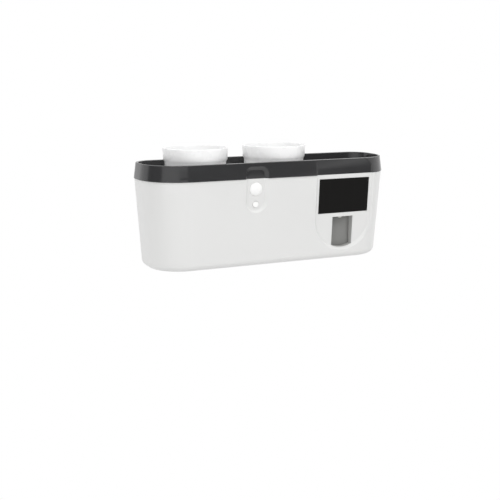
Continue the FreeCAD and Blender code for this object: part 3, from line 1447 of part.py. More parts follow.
def power_pieces():
    """Battery in its cradle, with the main board and charge socket on top."""
    cell = new_body("battery_cell")
    revolve(cell, [
        ("0", "0"),
        ("cell_cap_radius", "0"),
        ("cell_cap_radius", "cell_cap"),
        ("cell_radius - cell_edge", "cell_cap"),
        ("cell_radius", "cell_cap + cell_edge"),
        ("cell_radius", "cell_length"),
        ("0", "cell_length"),
    ])
    put(cell, CELL_X, CELL_FRONT, CELL_HEIGHT, "-90")
    cradle = new_body("battery_cradle")
    front = f"({CELL_FRONT} + cover_gap + cradle_wall)"
    back = f"({CELL_FRONT} - cell_length - cover_gap - cradle_wall)"
    sketch = new_sketch(cradle, "XZ_Plane", level=front)
    rectangle(sketch, f"{CELL_X} - cradle_half", f"{CELL_X} + cradle_half",
              FLOOR_TOP, f"{FLOOR_TOP} + cradle_rise")
    pad(cradle, sketch, f"{front} - {back}", reverse=True)
    sketch = new_sketch(cradle, "XZ_Plane", level=front)
    circle(sketch, CELL_X, CELL_HEIGHT, "cell_radius + screw_gap")
    pocket(cradle, sketch, f"{front} - {back}")
    for level in (front, f"{back} + cradle_wall"):
        sketch = new_sketch(cradle, "XZ_Plane", level=level)
        rectangle(sketch, f"{CELL_X} - cradle_half", f"{CELL_X} + cradle_half", FLOOR_TOP, "cradle_top")
        pad(cradle, sketch, "cradle_wall", reverse=True)
    board = new_body("main_board")
    right = half_width_at("cradle_top", "wall + main_board_gap")
    sketch = new_sketch(board, "XY_Plane", level="cradle_top")
    left = f"{CELL_X} - cradle_half"
    edge = f"{CELL_X} + cradle_half"
    outline(sketch, [
        (left, f"-{front}"),
        (edge, f"-{front}"),
        (edge, "-charge_depth - charge_width"),
        (right, "-charge_depth - charge_width"),
        (right, "-charge_depth + charge_width"),
        (edge, "-charge_depth + charge_width"),
        (edge, f"-{back}"),
        (left, f"-{back}"),
    ])
    pad(board, sketch, "board_thickness")
    chip = new_body("BoardChip", node=False)
    sketch = new_sketch(chip, "XY_Plane")
    rectangle(sketch, "-chip_size / 2", "chip_size / 2", "-chip_size / 2", "chip_size / 2")
    pad(chip, sketch, "chip_height")
    group("board_chips", chip,
          [(CELL_X, f"({front} + {back}) / 2 + chip_pitch * {step}", "cradle_top + board_thickness")
           for step in (-1, 0, 1)])
    charge_socket()


def charge_socket():
    """Flat oval charge socket at the board's right edge, open to the right."""
    body = new_body("charge_socket")
    mouth = f"({half_width_at('cradle_top')} - wall / 2)"
    low = "(cradle_top + board_thickness)"

    def oval(sketch, inset):
        flat = "(charge_width - charge_height) / 2"
        outline(sketch, [
            (f"-charge_depth - {flat}", f"{low} + {inset}"),
            (f"-charge_depth + {flat}", f"{low} + {inset}", "tangent"),
            (f"-charge_depth + {flat}", f"{low} + charge_height - {inset}"),
            (f"-charge_depth - {flat}", f"{low} + charge_height - {inset}", "tangent"),
        ])

    sketch = new_sketch(body, "YZ_Plane", level=mouth)
    oval(sketch, "0")
    pad(body, sketch, "charge_length", reverse=True)
    sketch = new_sketch(body, "YZ_Plane", level=mouth)
    oval(sketch, "charge_wall")
    pocket(body, sketch, "charge_length - charge_back")
    sketch = new_sketch(body, "YZ_Plane", level=f"{mouth} - charge_wall * 2")
    rectangle(sketch, "-charge_depth - charge_tongue / 2", "-charge_depth + charge_tongue / 2",
              f"{low} + charge_height / 2 - charge_wall", f"{low} + charge_height / 2 + charge_wall")
    pad(body, sketch, "charge_length - charge_back", reverse=True)
    return body


def check_and_export():
    """Stop on a failed object or a broken solid, then write one file for each piece."""
    doc.recompute()
    failed = [item.Name for item in doc.Objects if "Invalid" in item.State or "Error" in item.State]
    if failed:
        raise RuntimeError(f"failed objects: {failed}")
    os.makedirs("parts", exist_ok=True)
    for node in NODES:
        shape = node.Shape
        if shape.isNull() or not shape.isValid() or not shape.Solids:
            raise RuntimeError(f"broken solid: {node.Label}")
        shape.exportStep(f"parts/{node.Label}.step")
        print(f"{node.Label}: {len(shape.Solids)} solid, {shape.Volume / 1000:.2f} cm3")


wall_plate()
adhesive_pad()
front_housing()
rear_cover()
cover_screws()
brush_rack()
chamber_divider()
reflector_panel()
light_pieces()
storage_tray()
cup("cup_left", "left_cup_x")
cup("cup_right", "right_cup_x")
solar_pieces()
sensor_pieces()
button_pieces()
dispenser_frame()
frame_screws()
pump_base()
paste_pieces()
pump_bellows()
push_paddle()
guide_rods()
return_springs()
power_pieces()
check_and_export()
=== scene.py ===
"""Wall-hung toothbrush holder with a push-type paste dispenser, dressed for a plain studio picture.

Lengths in the classes are millimetres in the part's own frame: +X right, -Y to the front, +Z up,
the wall at Y = 0. They become metres where a mesh is made.
"""

import logging
import math
from dataclasses import dataclass
from enum import Enum

import bmesh
import bpy
from mathutils import Matrix, Vector


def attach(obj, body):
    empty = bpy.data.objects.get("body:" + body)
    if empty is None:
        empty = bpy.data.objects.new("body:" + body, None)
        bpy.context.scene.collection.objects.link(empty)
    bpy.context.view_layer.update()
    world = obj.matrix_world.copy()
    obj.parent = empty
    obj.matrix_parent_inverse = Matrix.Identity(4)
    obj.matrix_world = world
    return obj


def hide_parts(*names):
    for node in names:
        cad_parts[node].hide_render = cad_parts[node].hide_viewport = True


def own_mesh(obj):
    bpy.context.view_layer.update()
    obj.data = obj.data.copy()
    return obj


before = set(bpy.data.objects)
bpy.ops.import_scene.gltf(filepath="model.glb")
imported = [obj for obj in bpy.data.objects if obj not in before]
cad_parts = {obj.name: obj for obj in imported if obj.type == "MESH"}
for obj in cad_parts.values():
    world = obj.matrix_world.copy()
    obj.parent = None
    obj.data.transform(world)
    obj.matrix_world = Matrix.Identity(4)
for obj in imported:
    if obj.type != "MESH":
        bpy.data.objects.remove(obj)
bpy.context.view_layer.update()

MM = 0.001
# Edges that turn further than this stay crisp, on solids and on turned pieces.
CREASE = math.radians(32)
TURNED_CREASE = math.radians(35)
# Corners of loose triangles closer than this, in metres, are one corner.
SAME_CORNER = 1e-6
# Lays an upright axis down so that it points to the back.
POINT_BACK = Matrix(((1, 0, 0), (0, 0, 1), (0, -1, 0)))
WHITE = "#FFFFFF"
LOG = logging.getLogger("holder")


class Grain(Enum):
    """How a surface was made, which decides the pattern in its relief."""

    MOULDED = "moulded"
    BRUSHED = "brushed"
    FOAMED = "foamed"


def linear(code: str) -> tuple[float, float, float, float]:
    """Turn an sRGB hex colour into linear light.

    Args:
        code: Colour as "#RRGGBB".

    Returns:
        Red, green, blue and an alpha of one.
    """
    parts = [int(code[start:start + 2], 16) / 255 for start in (1, 3, 5)]
    light = [part / 12.92 if part <= 0.04045 else ((part + 0.055) / 1.055) ** 2.4 for part in parts]
    return light[0], light[1], light[2], 1.0


def add(tree: bpy.types.NodeTree, kind: str, sockets: dict | None = None, **settings) -> bpy.types.Node:
    """Add a node with its settings, values and links.

    Args:
        tree: Tree that gets the node.
        kind: Blender's name for the node.
        sockets: Input by name or number, to a value or to the output it is linked from.
        **settings: Properties of the node.

    Returns:
        The new node.
    """
    node = tree.nodes.new(kind)
    for name, setting in settings.items():
        setattr(node, name, setting)
    for name, given in (sockets or {}).items():
        if isinstance(given, bpy.types.NodeSocket):
            tree.links.new(given, node.inputs[name])
        else:
            node.inputs[name].default_value = given
    return node


def link(name: str, content: bpy.types.ID) -> bpy.types.Object:
    """Put a mesh, lamp or camera into the scene.

    Args:
        name: Name of the object.
        content: Its data.

    Returns:
        The linked object.
    """
    item = bpy.data.objects.new(name, content)
    bpy.context.scene.collection.objects.link(item)
    return item


def close_work(work: bmesh.types.BMesh, name: str) -> bpy.types.Mesh:
    """Write edited geometry to a new mesh and free it.

    Args:
        work: The edited geometry.
        name: Name of the mesh.

    Returns:
        The new mesh.
    """
    mesh = bpy.data.meshes.new(name)
    work.to_mesh(mesh)
    work.free()
    return mesh


def bake(host: bpy.types.Object) -> bpy.types.Mesh:
    """Take the mesh that an object's modifiers make and remove the object.

    Args:
        host: Linked object with its modifiers.

    Returns:
        The finished mesh.
    """
    seen = host.evaluated_get(bpy.context.evaluated_depsgraph_get())
    mesh = bpy.data.meshes.new_from_object(seen)
    bpy.data.objects.remove(host)
    return mesh


def shade(mesh: bpy.types.Mesh, crease: float = CREASE) -> None:
    """Shade a mesh smooth, apart from its crisp edges."""
    mesh.shade_smooth()
    mesh.set_sharp_from_angle(angle=crease)


@dataclass(frozen=True)
class Finish:
    """A real material and how its surface was made.

    Attributes:
        name: Common name of the material and of its making.
        colour: Main colour as sRGB hex.
        drift: Second colour, which the main one drifts to over a hand's width.
        roughness: Roughness in the middle of its range.
        spread: Half the range of roughness.
        ior: Index of refraction; metals keep the default.
        metallic: One for a metal.
        grain: How the surface was made.
        grain_mm: Width of one grain.
        relief_mm: Height of the grain.
        scatter: Share of light that passes under the surface.
        scatter_mm: How far that light goes.
        clear: Share of light that passes through.
    """

    name: str
    colour: str
    drift: str
    roughness: float
    spread: float = 0.03
    ior: float = 1.5
    metallic: float = 0.0
    grain: Grain = Grain.MOULDED
    grain_mm: float = 0.9
    relief_mm: float = 0.004
    scatter: float = 0.0
    scatter_mm: float = 1.0
    clear: float = 0.0

    def material(self) -> bpy.types.Material:
        """Make the material once and return it."""
        found = bpy.data.materials.get(self.name)
        if found:
            return found
        made = bpy.data.materials.new(self.name)
        made.use_nodes = True
        tree = made.node_tree
        shader = tree.nodes["Principled BSDF"]
        place = add(tree, "ShaderNodeTexCoord").outputs["Object"]
        self.set_constants(shader)
        tree.links.new(self.paint(tree, place), shader.inputs["Base Color"])
        tree.links.new(self.gloss(tree, place), shader.inputs["Roughness"])
        tree.links.new(self.relief(tree, place), shader.inputs["Normal"])
        return made

    def set_constants(self, shader: bpy.types.Node) -> None:
        """Set what is the same all over the surface on the shader's own sockets."""
        shader.inputs["Metallic"].default_value = self.metallic
        shader.inputs["IOR"].default_value = self.ior
        shader.inputs["Subsurface Weight"].default_value = self.scatter
        shader.inputs["Subsurface Radius"].default_value = (1.0, 1.0, 1.0)
        shader.inputs["Subsurface Scale"].default_value = self.scatter_mm * MM
        shader.inputs["Transmission Weight"].default_value = self.clear

    def paint(self, tree: bpy.types.NodeTree, place: bpy.types.NodeSocket) -> bpy.types.NodeSocket:
        """Colour that drifts a little across the piece.

        Args:
            tree: The material's tree.
            place: Object coordinates.

        Returns:
            The colour's socket.
        """
        hand_mm = 85
        cloud = add(tree, "ShaderNodeTexNoise", {
            "Vector": place, "Scale": 1 / (hand_mm * MM), "Detail": 3.0})
        mix = add(tree, "ShaderNodeMix", {0: cloud.outputs["Fac"], 6: linear(self.colour),
                                          7: linear(self.drift)}, data_type="RGBA")
        return mix.outputs[2]

    def gloss(self, tree: bpy.types.NodeTree, place: bpy.types.NodeSocket) -> bpy.types.NodeSocket:
        """Roughness that varies as a moulded or handled surface does.

        Args:
            tree: The material's tree.
            place: Object coordinates.

        Returns:
            The roughness socket.
        """
        patch_mm = 14
        cloud = add(tree, "ShaderNodeTexNoise", {
            "Vector": place, "Scale": 1 / (patch_mm * MM), "Detail": 4.0})
        span = add(tree, "ShaderNodeMapRange", {
            "Value": cloud.outputs["Fac"], "From Min": 0.3, "From Max": 0.7,
            "To Min": self.roughness - self.spread, "To Max": self.roughness + self.spread})
        return span.outputs["Result"]

    def relief(self, tree: bpy.types.NodeTree, place: bpy.types.NodeSocket) -> bpy.types.NodeSocket:
        """Fine relief left by the mould, the brush or the foam's cells.

        Args:
            tree: The material's tree.
            place: Object coordinates.

        Returns:
            The normal's socket.
        """
        per_metre = 1 / (self.grain_mm * MM)
        if self.grain is Grain.BRUSHED:
            stroke = (0.04, 1.0, 1.0)
            along = add(tree, "ShaderNodeMapping", {"Vector": place, "Scale": stroke})
            place = along.outputs["Vector"]
        if self.grain is Grain.FOAMED:
            cells = add(tree, "ShaderNodeTexVoronoi", {"Vector": place, "Scale": per_metre})
            height = cells.outputs["Distance"]
        else:
            cells = add(tree, "ShaderNodeTexNoise", {"Vector": place, "Scale": per_metre, "Detail": 2.0})
            height = cells.outputs["Fac"]
        bump = add(tree, "ShaderNodeBump", {
            "Height": height, "Strength": 0.6, "Distance": self.relief_mm * MM})
        return bump.outputs["Normal"]


@dataclass(frozen=True)
class BoardFinish(Finish):
    """Circuit board: solder mask over copper tracks, which show as slightly lighter, raised lines."""

    track_mm: float = 1.6

    def paint(self, tree: bpy.types.NodeTree, place: bpy.types.NodeSocket) -> bpy.types.NodeSocket:
        """Tracks as cells of a square grid, drawn coarser than real so that they show."""
        lines = add(tree, "ShaderNodeTexVoronoi", {"Vector": place, "Scale": 1 / (self.track_mm * MM * 2)},
                    distance="MANHATTAN", feature="F2")
        step = add(tree, "ShaderNodeMapRange", {"Value": lines.outputs["Distance"], "From Min": 0.48,
                                                "From Max": 0.52})
        mix = add(tree, "ShaderNodeMix", {0: step.outputs["Result"], 6: linear(self.colour),
                                          7: linear(self.drift)}, data_type="RGBA")
        return mix.outputs[2]


@dataclass(frozen=True)
class CellFinish(Finish):
    """Thin-film solar cell: dark strips with fine scribed lines between them."""

    strip_mm: float = 8.3
    line_mm: float = 0.15

    def paint(self, tree: bpy.types.NodeTree, place: bpy.types.NodeSocket) -> bpy.types.NodeSocket:
        """Upright strips, one scribed line to each."""
        axes = add(tree, "ShaderNodeSeparateXYZ", {"Vector": place})
        strips = add(tree, "ShaderNodeMath", {0: axes.outputs["X"], 1: self.strip_mm * MM},
                     operation="PINGPONG")
        line = add(tree, "ShaderNodeMath", {0: strips.outputs["Value"], 1: self.line_mm * MM},
                   operation="LESS_THAN")
        mix = add(tree, "ShaderNodeMix", {0: line.outputs["Value"], 6: linear(self.colour),
                                          7: linear(self.drift)}, data_type="RGBA")
        return mix.outputs[2]


class Finishes:
    """The finishes of this holder, each from what the real piece is made of; the mouth's sleeve and the paddle
    carry painted shade.
    """

    # Injection-moulded ABS, satin: a soft broad highlight and hardly any texture.
    HOUSING = Finish("abs_white_satin", "#E2E2E1", "#E0E0DF", 0.32, ior=1.53, grain_mm=0.8, relief_mm=0.003)
    # The same plastic, dark and polished: sharper reflections of pale surroundings.
    TRAY = Finish("abs_dark_grey_gloss", "#343435", "#373738", 0.18, ior=1.53, grain_mm=1.5,
                  relief_mm=0.004)
    # Polypropylene: waxy gloss, light goes a little way in.
    CUP = Finish("polypropylene_white", "#F5F5F5", "#F3F3F3", 0.28, ior=1.49, scatter=0.5, scatter_mm=3.0)
    # Spark-eroded mould texture: even, dull, slightly grey white.
    COVER = Finish("abs_white_textured", "#E2E2E0", "#DCDCDA", 0.55, ior=1.53, grain_mm=0.6, relief_mm=0.02)
    FOAM = Finish("polyethylene_foam_grey", "#C2C2BE", "#B4B4B0", 0.9, grain=Grain.FOAMED, grain_mm=0.5,
                  relief_mm=0.12)
    # Zinc-plated steel, brushed by the plating drum.
    STEEL = Finish("steel_plated", "#B9BABC", "#A9AAAC", 0.3, spread=0.08, metallic=1.0,
                   grain=Grain.BRUSHED, grain_mm=0.25, relief_mm=0.006)
    RACK = Finish("abs_light_grey_matt", "#C6C8CA", "#BEC0C2", 0.5, ior=1.53, grain_mm=0.6, relief_mm=0.015)
    BRIGHT = Finish("aluminium_bright_sheet", "#E6E7E9", "#DCDDE0", 0.12, spread=0.05, metallic=1.0,
                    grain=Grain.BRUSHED, grain_mm=0.2, relief_mm=0.002)
    BOARD = BoardFinish("circuit_board_green", "#0C3B22", "#14512F", 0.42, grain_mm=1.6, relief_mm=0.03)
    DIODE = Finish("quartz_window", "#E8EAF2", "#DFE2EE", 0.08, ior=1.46, clear=0.6, grain_mm=2.0,
                   relief_mm=0.001)
    # Dark acrylic over the cell, with an anti-reflective coat: nearly black with a faint clear reflection.
    WINDOW = CellFinish("acrylic_dark_window", "#100F0E", "#161514", 0.12, ior=1.2, grain_mm=6.0,
                        relief_mm=0.002)
    CELL = CellFinish("thin_film_cell", "#14161C", "#3A3C40", 0.4)
    # Frosted polyethylene lens: milky, light passes in and spreads.
    LENS = Finish("polyethylene_frosted", "#FDFDFC", "#FAFAF9", 0.42, ior=1.51, scatter=0.35,
                  scatter_mm=2.0, grain_mm=0.5, relief_mm=0.006)
    BUTTON = Finish("abs_white_gloss", "#FBFBFA", "#F8F8F7", 0.25, ior=1.53)
    RESIN = Finish("epoxy_resin_black", "#1C1C1D", "#232324", 0.55, grain_mm=0.4, relief_mm=0.01)
    # Acetal: dense, waxy and dull white.
    ACETAL = Finish("acetal_white", "#DADAD7", "#D2D2CF", 0.45, ior=1.48, grain_mm=0.7, relief_mm=0.008)
    # Paddle deep in the mouth: acetal grey darkened as painted shade.
    PADDLE = Finish("acetal_grey_painted_shade", "#8C8C8A", "#868684", 0.42, ior=1.48, grain_mm=0.7, relief_mm=0.008)
    # Thin grey lining of the mouth: painted shade over its white walls, with a dull surface.
    SHADE_SLEEVE = Finish("painted_shade_grey", "#B4B4B2", "#AEAEAC", 0.5, ior=1.48, grain_mm=0.6, relief_mm=0.01)
    SILICONE = Finish("silicone_milky", "#D9D8D2", "#D0CFC8", 0.5, ior=1.41, scatter=0.3, scatter_mm=2.5)
    RING = Finish("abs_mid_grey", "#6E6F71", "#66676A", 0.45, ior=1.53, grain_mm=0.6, relief_mm=0.012)
    WRAP = Finish("shrink_film_blue", "#2C5C8A", "#27527D", 0.22, ior=1.5, grain_mm=4.0, relief_mm=0.02)


def finish_piece(mesh: bpy.types.Mesh, name: str, look: Finish, body: str, nodes: list[str]) -> bpy.types.Object:
    """Link a finished mesh as a piece that stands for CAD nodes and rides on their body.

    Args:
        mesh: Mesh in metres, in the part's frame.
        name: Name of the piece.
        look: Its finish.
        body: CAD body that carries it.
        nodes: CAD nodes that it stands for.

    Returns:
        The linked object.
    """
    mesh.materials.clear()
    mesh.materials.append(look.material())
    piece = link(name, mesh)
    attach(piece, body)
    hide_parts(*nodes)
    LOG.info("%s: %d faces on %s", name, len(mesh.polygons), body)
    return piece


def smooth_copy(node: str) -> bpy.types.Mesh:
    """Copy of a CAD node's mesh with its loose triangles merged and its round faces smooth.

    Args:
        node: CAD node to copy.

    Returns:
        The merged mesh.
    """
    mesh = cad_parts[node].data.copy()
    work = bmesh.new()
    work.from_mesh(mesh)
    bmesh.ops.remove_doubles(work, verts=work.verts, dist=SAME_CORNER)
    work.to_mesh(mesh)
    work.free()
    for attribute in ("custom_normal", "sharp_face"):
        layer = mesh.attributes.get(attribute)
        if layer:
            mesh.attributes.remove(layer)
    shade(mesh)
    return mesh


def soft_edges(mesh: bpy.types.Mesh, width: float) -> bpy.types.Mesh:
    """Break the crisp edges of a moulded piece.

    The clamp against overlaps follows the smallest triangles, so the edges move by less than 0.03 mm.

    Args:
        mesh: Merged mesh of the piece.
        width: Width that is asked for, in millimetres.

    Returns:
        The mesh with broken edges.
    """
    host = link("soft_edge_host", mesh)
    rounding = host.modifiers.new("rounding", "BEVEL")
    rounding.width = width * MM
    rounding.segments = 2
    rounding.limit_method = "ANGLE"
    rounding.angle_limit = CREASE
    rounded = bake(host)
    shade(rounded)
    return rounded


def lathe(profile: list[tuple[float, float]], centre: tuple[float, float, float],
          steps: int = 64) -> bpy.types.Mesh:
    """Turn a closed profile about an axis that points to the back.

    Args:
        profile: Radius and height of each corner, in order round the section; a radius of zero is a pole.
        centre: Point on the axis at height zero.
        steps: Number of faces round the axis.

    Returns:
        A closed mesh with smooth faces.
    """
    work = bmesh.new()
    rings: list[list[bmesh.types.BMVert]] = []
    for radius, height in profile:
        count = steps if radius > 0 else 1
        ring = []
        for step in range(count):
            turn = 2 * math.pi * step / count
            spot = POINT_BACK @ Vector((radius * math.cos(turn), radius * math.sin(turn), height))
            ring.append(work.verts.new((spot + Vector(centre)) * MM))
        rings.append(ring)
    for first, second in zip(rings, rings[1:] + rings[:1]):
        if len(first) == 1 and len(second) == 1:
            continue
        for step in range(steps):
            after = (step + 1) % steps
            corners = [first[step % len(first)], first[after % len(first)],
                       second[after % len(second)], second[step % len(second)]]
            work.faces.new(dict.fromkeys(corners))
    bmesh.ops.recalc_face_normals(work, faces=work.faces)
    mesh = close_work(work, "turned")
    shade(mesh, TURNED_CREASE)
    return mesh


@dataclass
class CadPieces:
    """Pieces whose solids already have the right shape: each gets smooth faces and its finish."""

    body: str
    looks: dict[str, Finish]
    edge: float = 0.0

    def build(self) -> None:
        """Make a smooth copy of each node, with broken edges where a width is given."""
        for node, look in self.looks.items():
            mesh = smooth_copy(node)
            if self.edge:
                mesh = soft_edges(mesh, self.edge)
            finish_piece(mesh, f"{node}_skin", look, self.body, [node])


@dataclass(frozen=True)
class Mouth:
    """The dispenser's mouth on the leaning front face, as the solid has it.

    Attributes:
        x: Middle of the mouth.
        width: Its width.
        side: Length of its sides, down the face.
        bow_radius: Radius of its bowed sill.
        top: Depth and height of its top.
        lean_deg: Lean of the face.
        drop: How far the sill is lowered along the face.
    """

    x: float = 85.4
    width: float = 27.8
    side: float = 31.0
    bow_radius: float = 32.0
    top: tuple[float, float] = (-81.42, 11.93)
    lean_deg: float = 4.0
    drop: float = 3.6

    @property
    def lean(self) -> float:
        """Lean of the face in radians."""
        return math.radians(self.lean_deg)

    @property
    def bow_middle(self) -> float:
        """Middle of the sill's arc, measured down the face."""
        return self.side - math.sqrt(self.bow_radius ** 2 - (self.width / 2) ** 2)


@dataclass
class Housing:
    """White shell, whose mouth reaches further down than the solid's.

    Attributes:
        mouth: The dispenser's mouth.
        reach: Half the width of the mouth with its tunnel's walls.
        depth: Front and back of the tunnel.
        sill: Lowest and highest place of the moulded sill.
        near: Places closer than this count as the same.
        edge: Width asked for on the crisp edges.
    """

    mouth: Mouth = Mouth()
    reach: float = 15.7
    depth: tuple[float, float] = (-81.6, -72.2)
    sill: tuple[float, float] = (-24.6, -18.3)
    near: float = 0.35
    edge: float = 1.2

    def build(self) -> None:
        """Lower the sill on a smooth copy of the shell and break its edges."""
        mesh = smooth_copy("front_housing")
        lean = self.mouth.lean
        down = Vector((0, math.sin(lean), -math.cos(lean))) * self.mouth.drop * MM
        for vertex in mesh.vertices:
            x, y, z = vertex.co / MM
            in_tunnel = abs(x - self.mouth.x) < self.reach and self.depth[0] < y < self.depth[1]
            if in_tunnel and self.sill[0] < z < self.sill[1] and not self.on_recess(x, y, z):
                vertex.co += down
        finish_piece(soft_edges(mesh, self.edge), "front_housing_skin", Finishes.HOUSING, "housing",
                     ["front_housing"])

    def on_recess(self, x: float, y: float, z: float) -> bool:
        """Tell the edge of the recess, which stays, from the sill and its tunnel.

        Args:
            x: Place along the body in millimetres.
            y: Depth in millimetres.
            z: Height in millimetres.

        Returns:
            True for a place on or before the leaning face and below the sill's arc.
        """
        lean = self.mouth.lean
        back, up = y - self.mouth.top[0], z - self.mouth.top[1]
        depth = back * math.cos(lean) + up * math.sin(lean)
        along = back * math.sin(lean) - up * math.cos(lean)
        arc = self.mouth.bow_middle + math.sqrt(self.mouth.bow_radius ** 2 - (x - self.mouth.x) ** 2)
        return depth < self.near and along > arc + self.near


@dataclass
class Cup:
    """Drinking cup with a stacking shoulder just above the tray's rim.

    Attributes:
        node: CAD node of the cup.
        body: CAD body of the cup.
        middle: Place of the cup's axis.
        shoulder: Lower and upper edge of the shoulder.
        spread: How far the wall above it stands out from the moulded radius.
    """

    node: str
    body: str
    middle: tuple[float, float]
    shoulder: tuple[float, float] = (81.4, 84.0)
    spread: float = 1.3

    def build(self) -> None:
        """Cut a smooth copy of the cup at the shoulder and widen what is above it."""
        mesh = smooth_copy(self.node)
        work = bmesh.new()
        work.from_mesh(mesh)
        for height in self.shoulder:
            everything = [*work.verts, *work.edges, *work.faces]
            bmesh.ops.bisect_plane(work, geom=everything, plane_co=(0, 0, height * MM), plane_no=(0, 0, 1))
        low, high = self.shoulder
        axis = Vector(self.middle) * MM
        for vertex in work.verts:
            across = vertex.co.xy - axis
            share = min(1.0, max(0.0, (vertex.co.z / MM - low) / (high - low)))
            if share > 0:
                vertex.co.xy = axis + across + across.normalized() * self.spread * share * MM
        work.to_mesh(mesh)
        work.free()
        finish_piece(mesh, f"{self.node}_skin", Finishes.CUP, self.body, [self.node])


@dataclass
class MouthShadeSleeve:
    """Thin grey sleeve over the sides and the lowered sill of the dispenser's mouth: painted shade on its white
    walls.

    Attributes:
        mouth: The dispenser's mouth.
        front_set: How far the sleeve's front lies behind the face.
        back: Depth of its back.
        thickness: Thickness of the sleeve.
        bow_steps: Number of faces along the sill.
    """

    mouth: Mouth = Mouth()
    front_set: float = 0.4
    back: float = -72.7
    thickness: float = 0.3
    bow_steps: int = 16

    def build(self) -> None:
        """Sweep the sleeve from the front of the mouth to the back of its tunnel."""
        outer, inner = self.outline(0.0), self.outline(self.thickness)
        rows = [self.row(outer, True), self.row(inner, True),
                self.row(inner, False), self.row(outer, False)]
        work = bmesh.new()
        loops = [[work.verts.new(point) for point in row] for row in rows]
        for one, two in zip(loops, loops[1:] + loops[:1]):
            for step in range(len(one) - 1):
                work.faces.new((one[step], one[step + 1], two[step + 1], two[step]))
        for end in (0, -1):
            work.faces.new([loop[end] for loop in loops])
        bmesh.ops.recalc_face_normals(work, faces=work.faces)
        mesh = close_work(work, "mouth_shade_sleeve")
        shade(mesh)
        # Its grey is painted shade inside the mouth.
        finish_piece(mesh, "mouth_shade_sleeve", Finishes.SHADE_SLEEVE, "housing", [])

    def outline(self, inset: float) -> list[tuple[float, float]]:
        """Sides and sill of the mouth, as places across it and down its face.

        Args:
            inset: How far the outline lies inside the mouth.

        Returns:
            Points from the top of the left side round to the top of the right side.
        """
        half, radius = self.mouth.width / 2 - inset, self.mouth.bow_radius - inset
        middle = self.mouth.bow_middle + self.mouth.drop
        reach = math.asin(half / radius)
        points = [(-half, inset)]
        for step in range(self.bow_steps + 1):
            turn = reach * (2 * step / self.bow_steps - 1)
            points.append((radius * math.sin(turn), middle + radius * math.cos(turn)))
        return points + [(half, inset)]

    def row(self, outline: list[tuple[float, float]], front: bool) -> list[Vector]:
        """Set an outline on the leaning face, at the front or the back of the tunnel.

        Args:
            outline: Places across the mouth and down its face.
            front: True for the front edge.

        Returns:
            The points in metres.
        """
        lean = self.mouth.lean
        points = []
        for across, down in outline:
            y = self.mouth.top[0] + down * math.sin(lean)
            z = self.mouth.top[1] - down * math.cos(lean)
            depth = self.front_set if front else (self.back - y) / math.cos(lean)
            inward = Vector((0, math.cos(lean), math.sin(lean))) * depth
            points.append((Vector((self.mouth.x + across, y, z)) + inward) * MM)
        return points


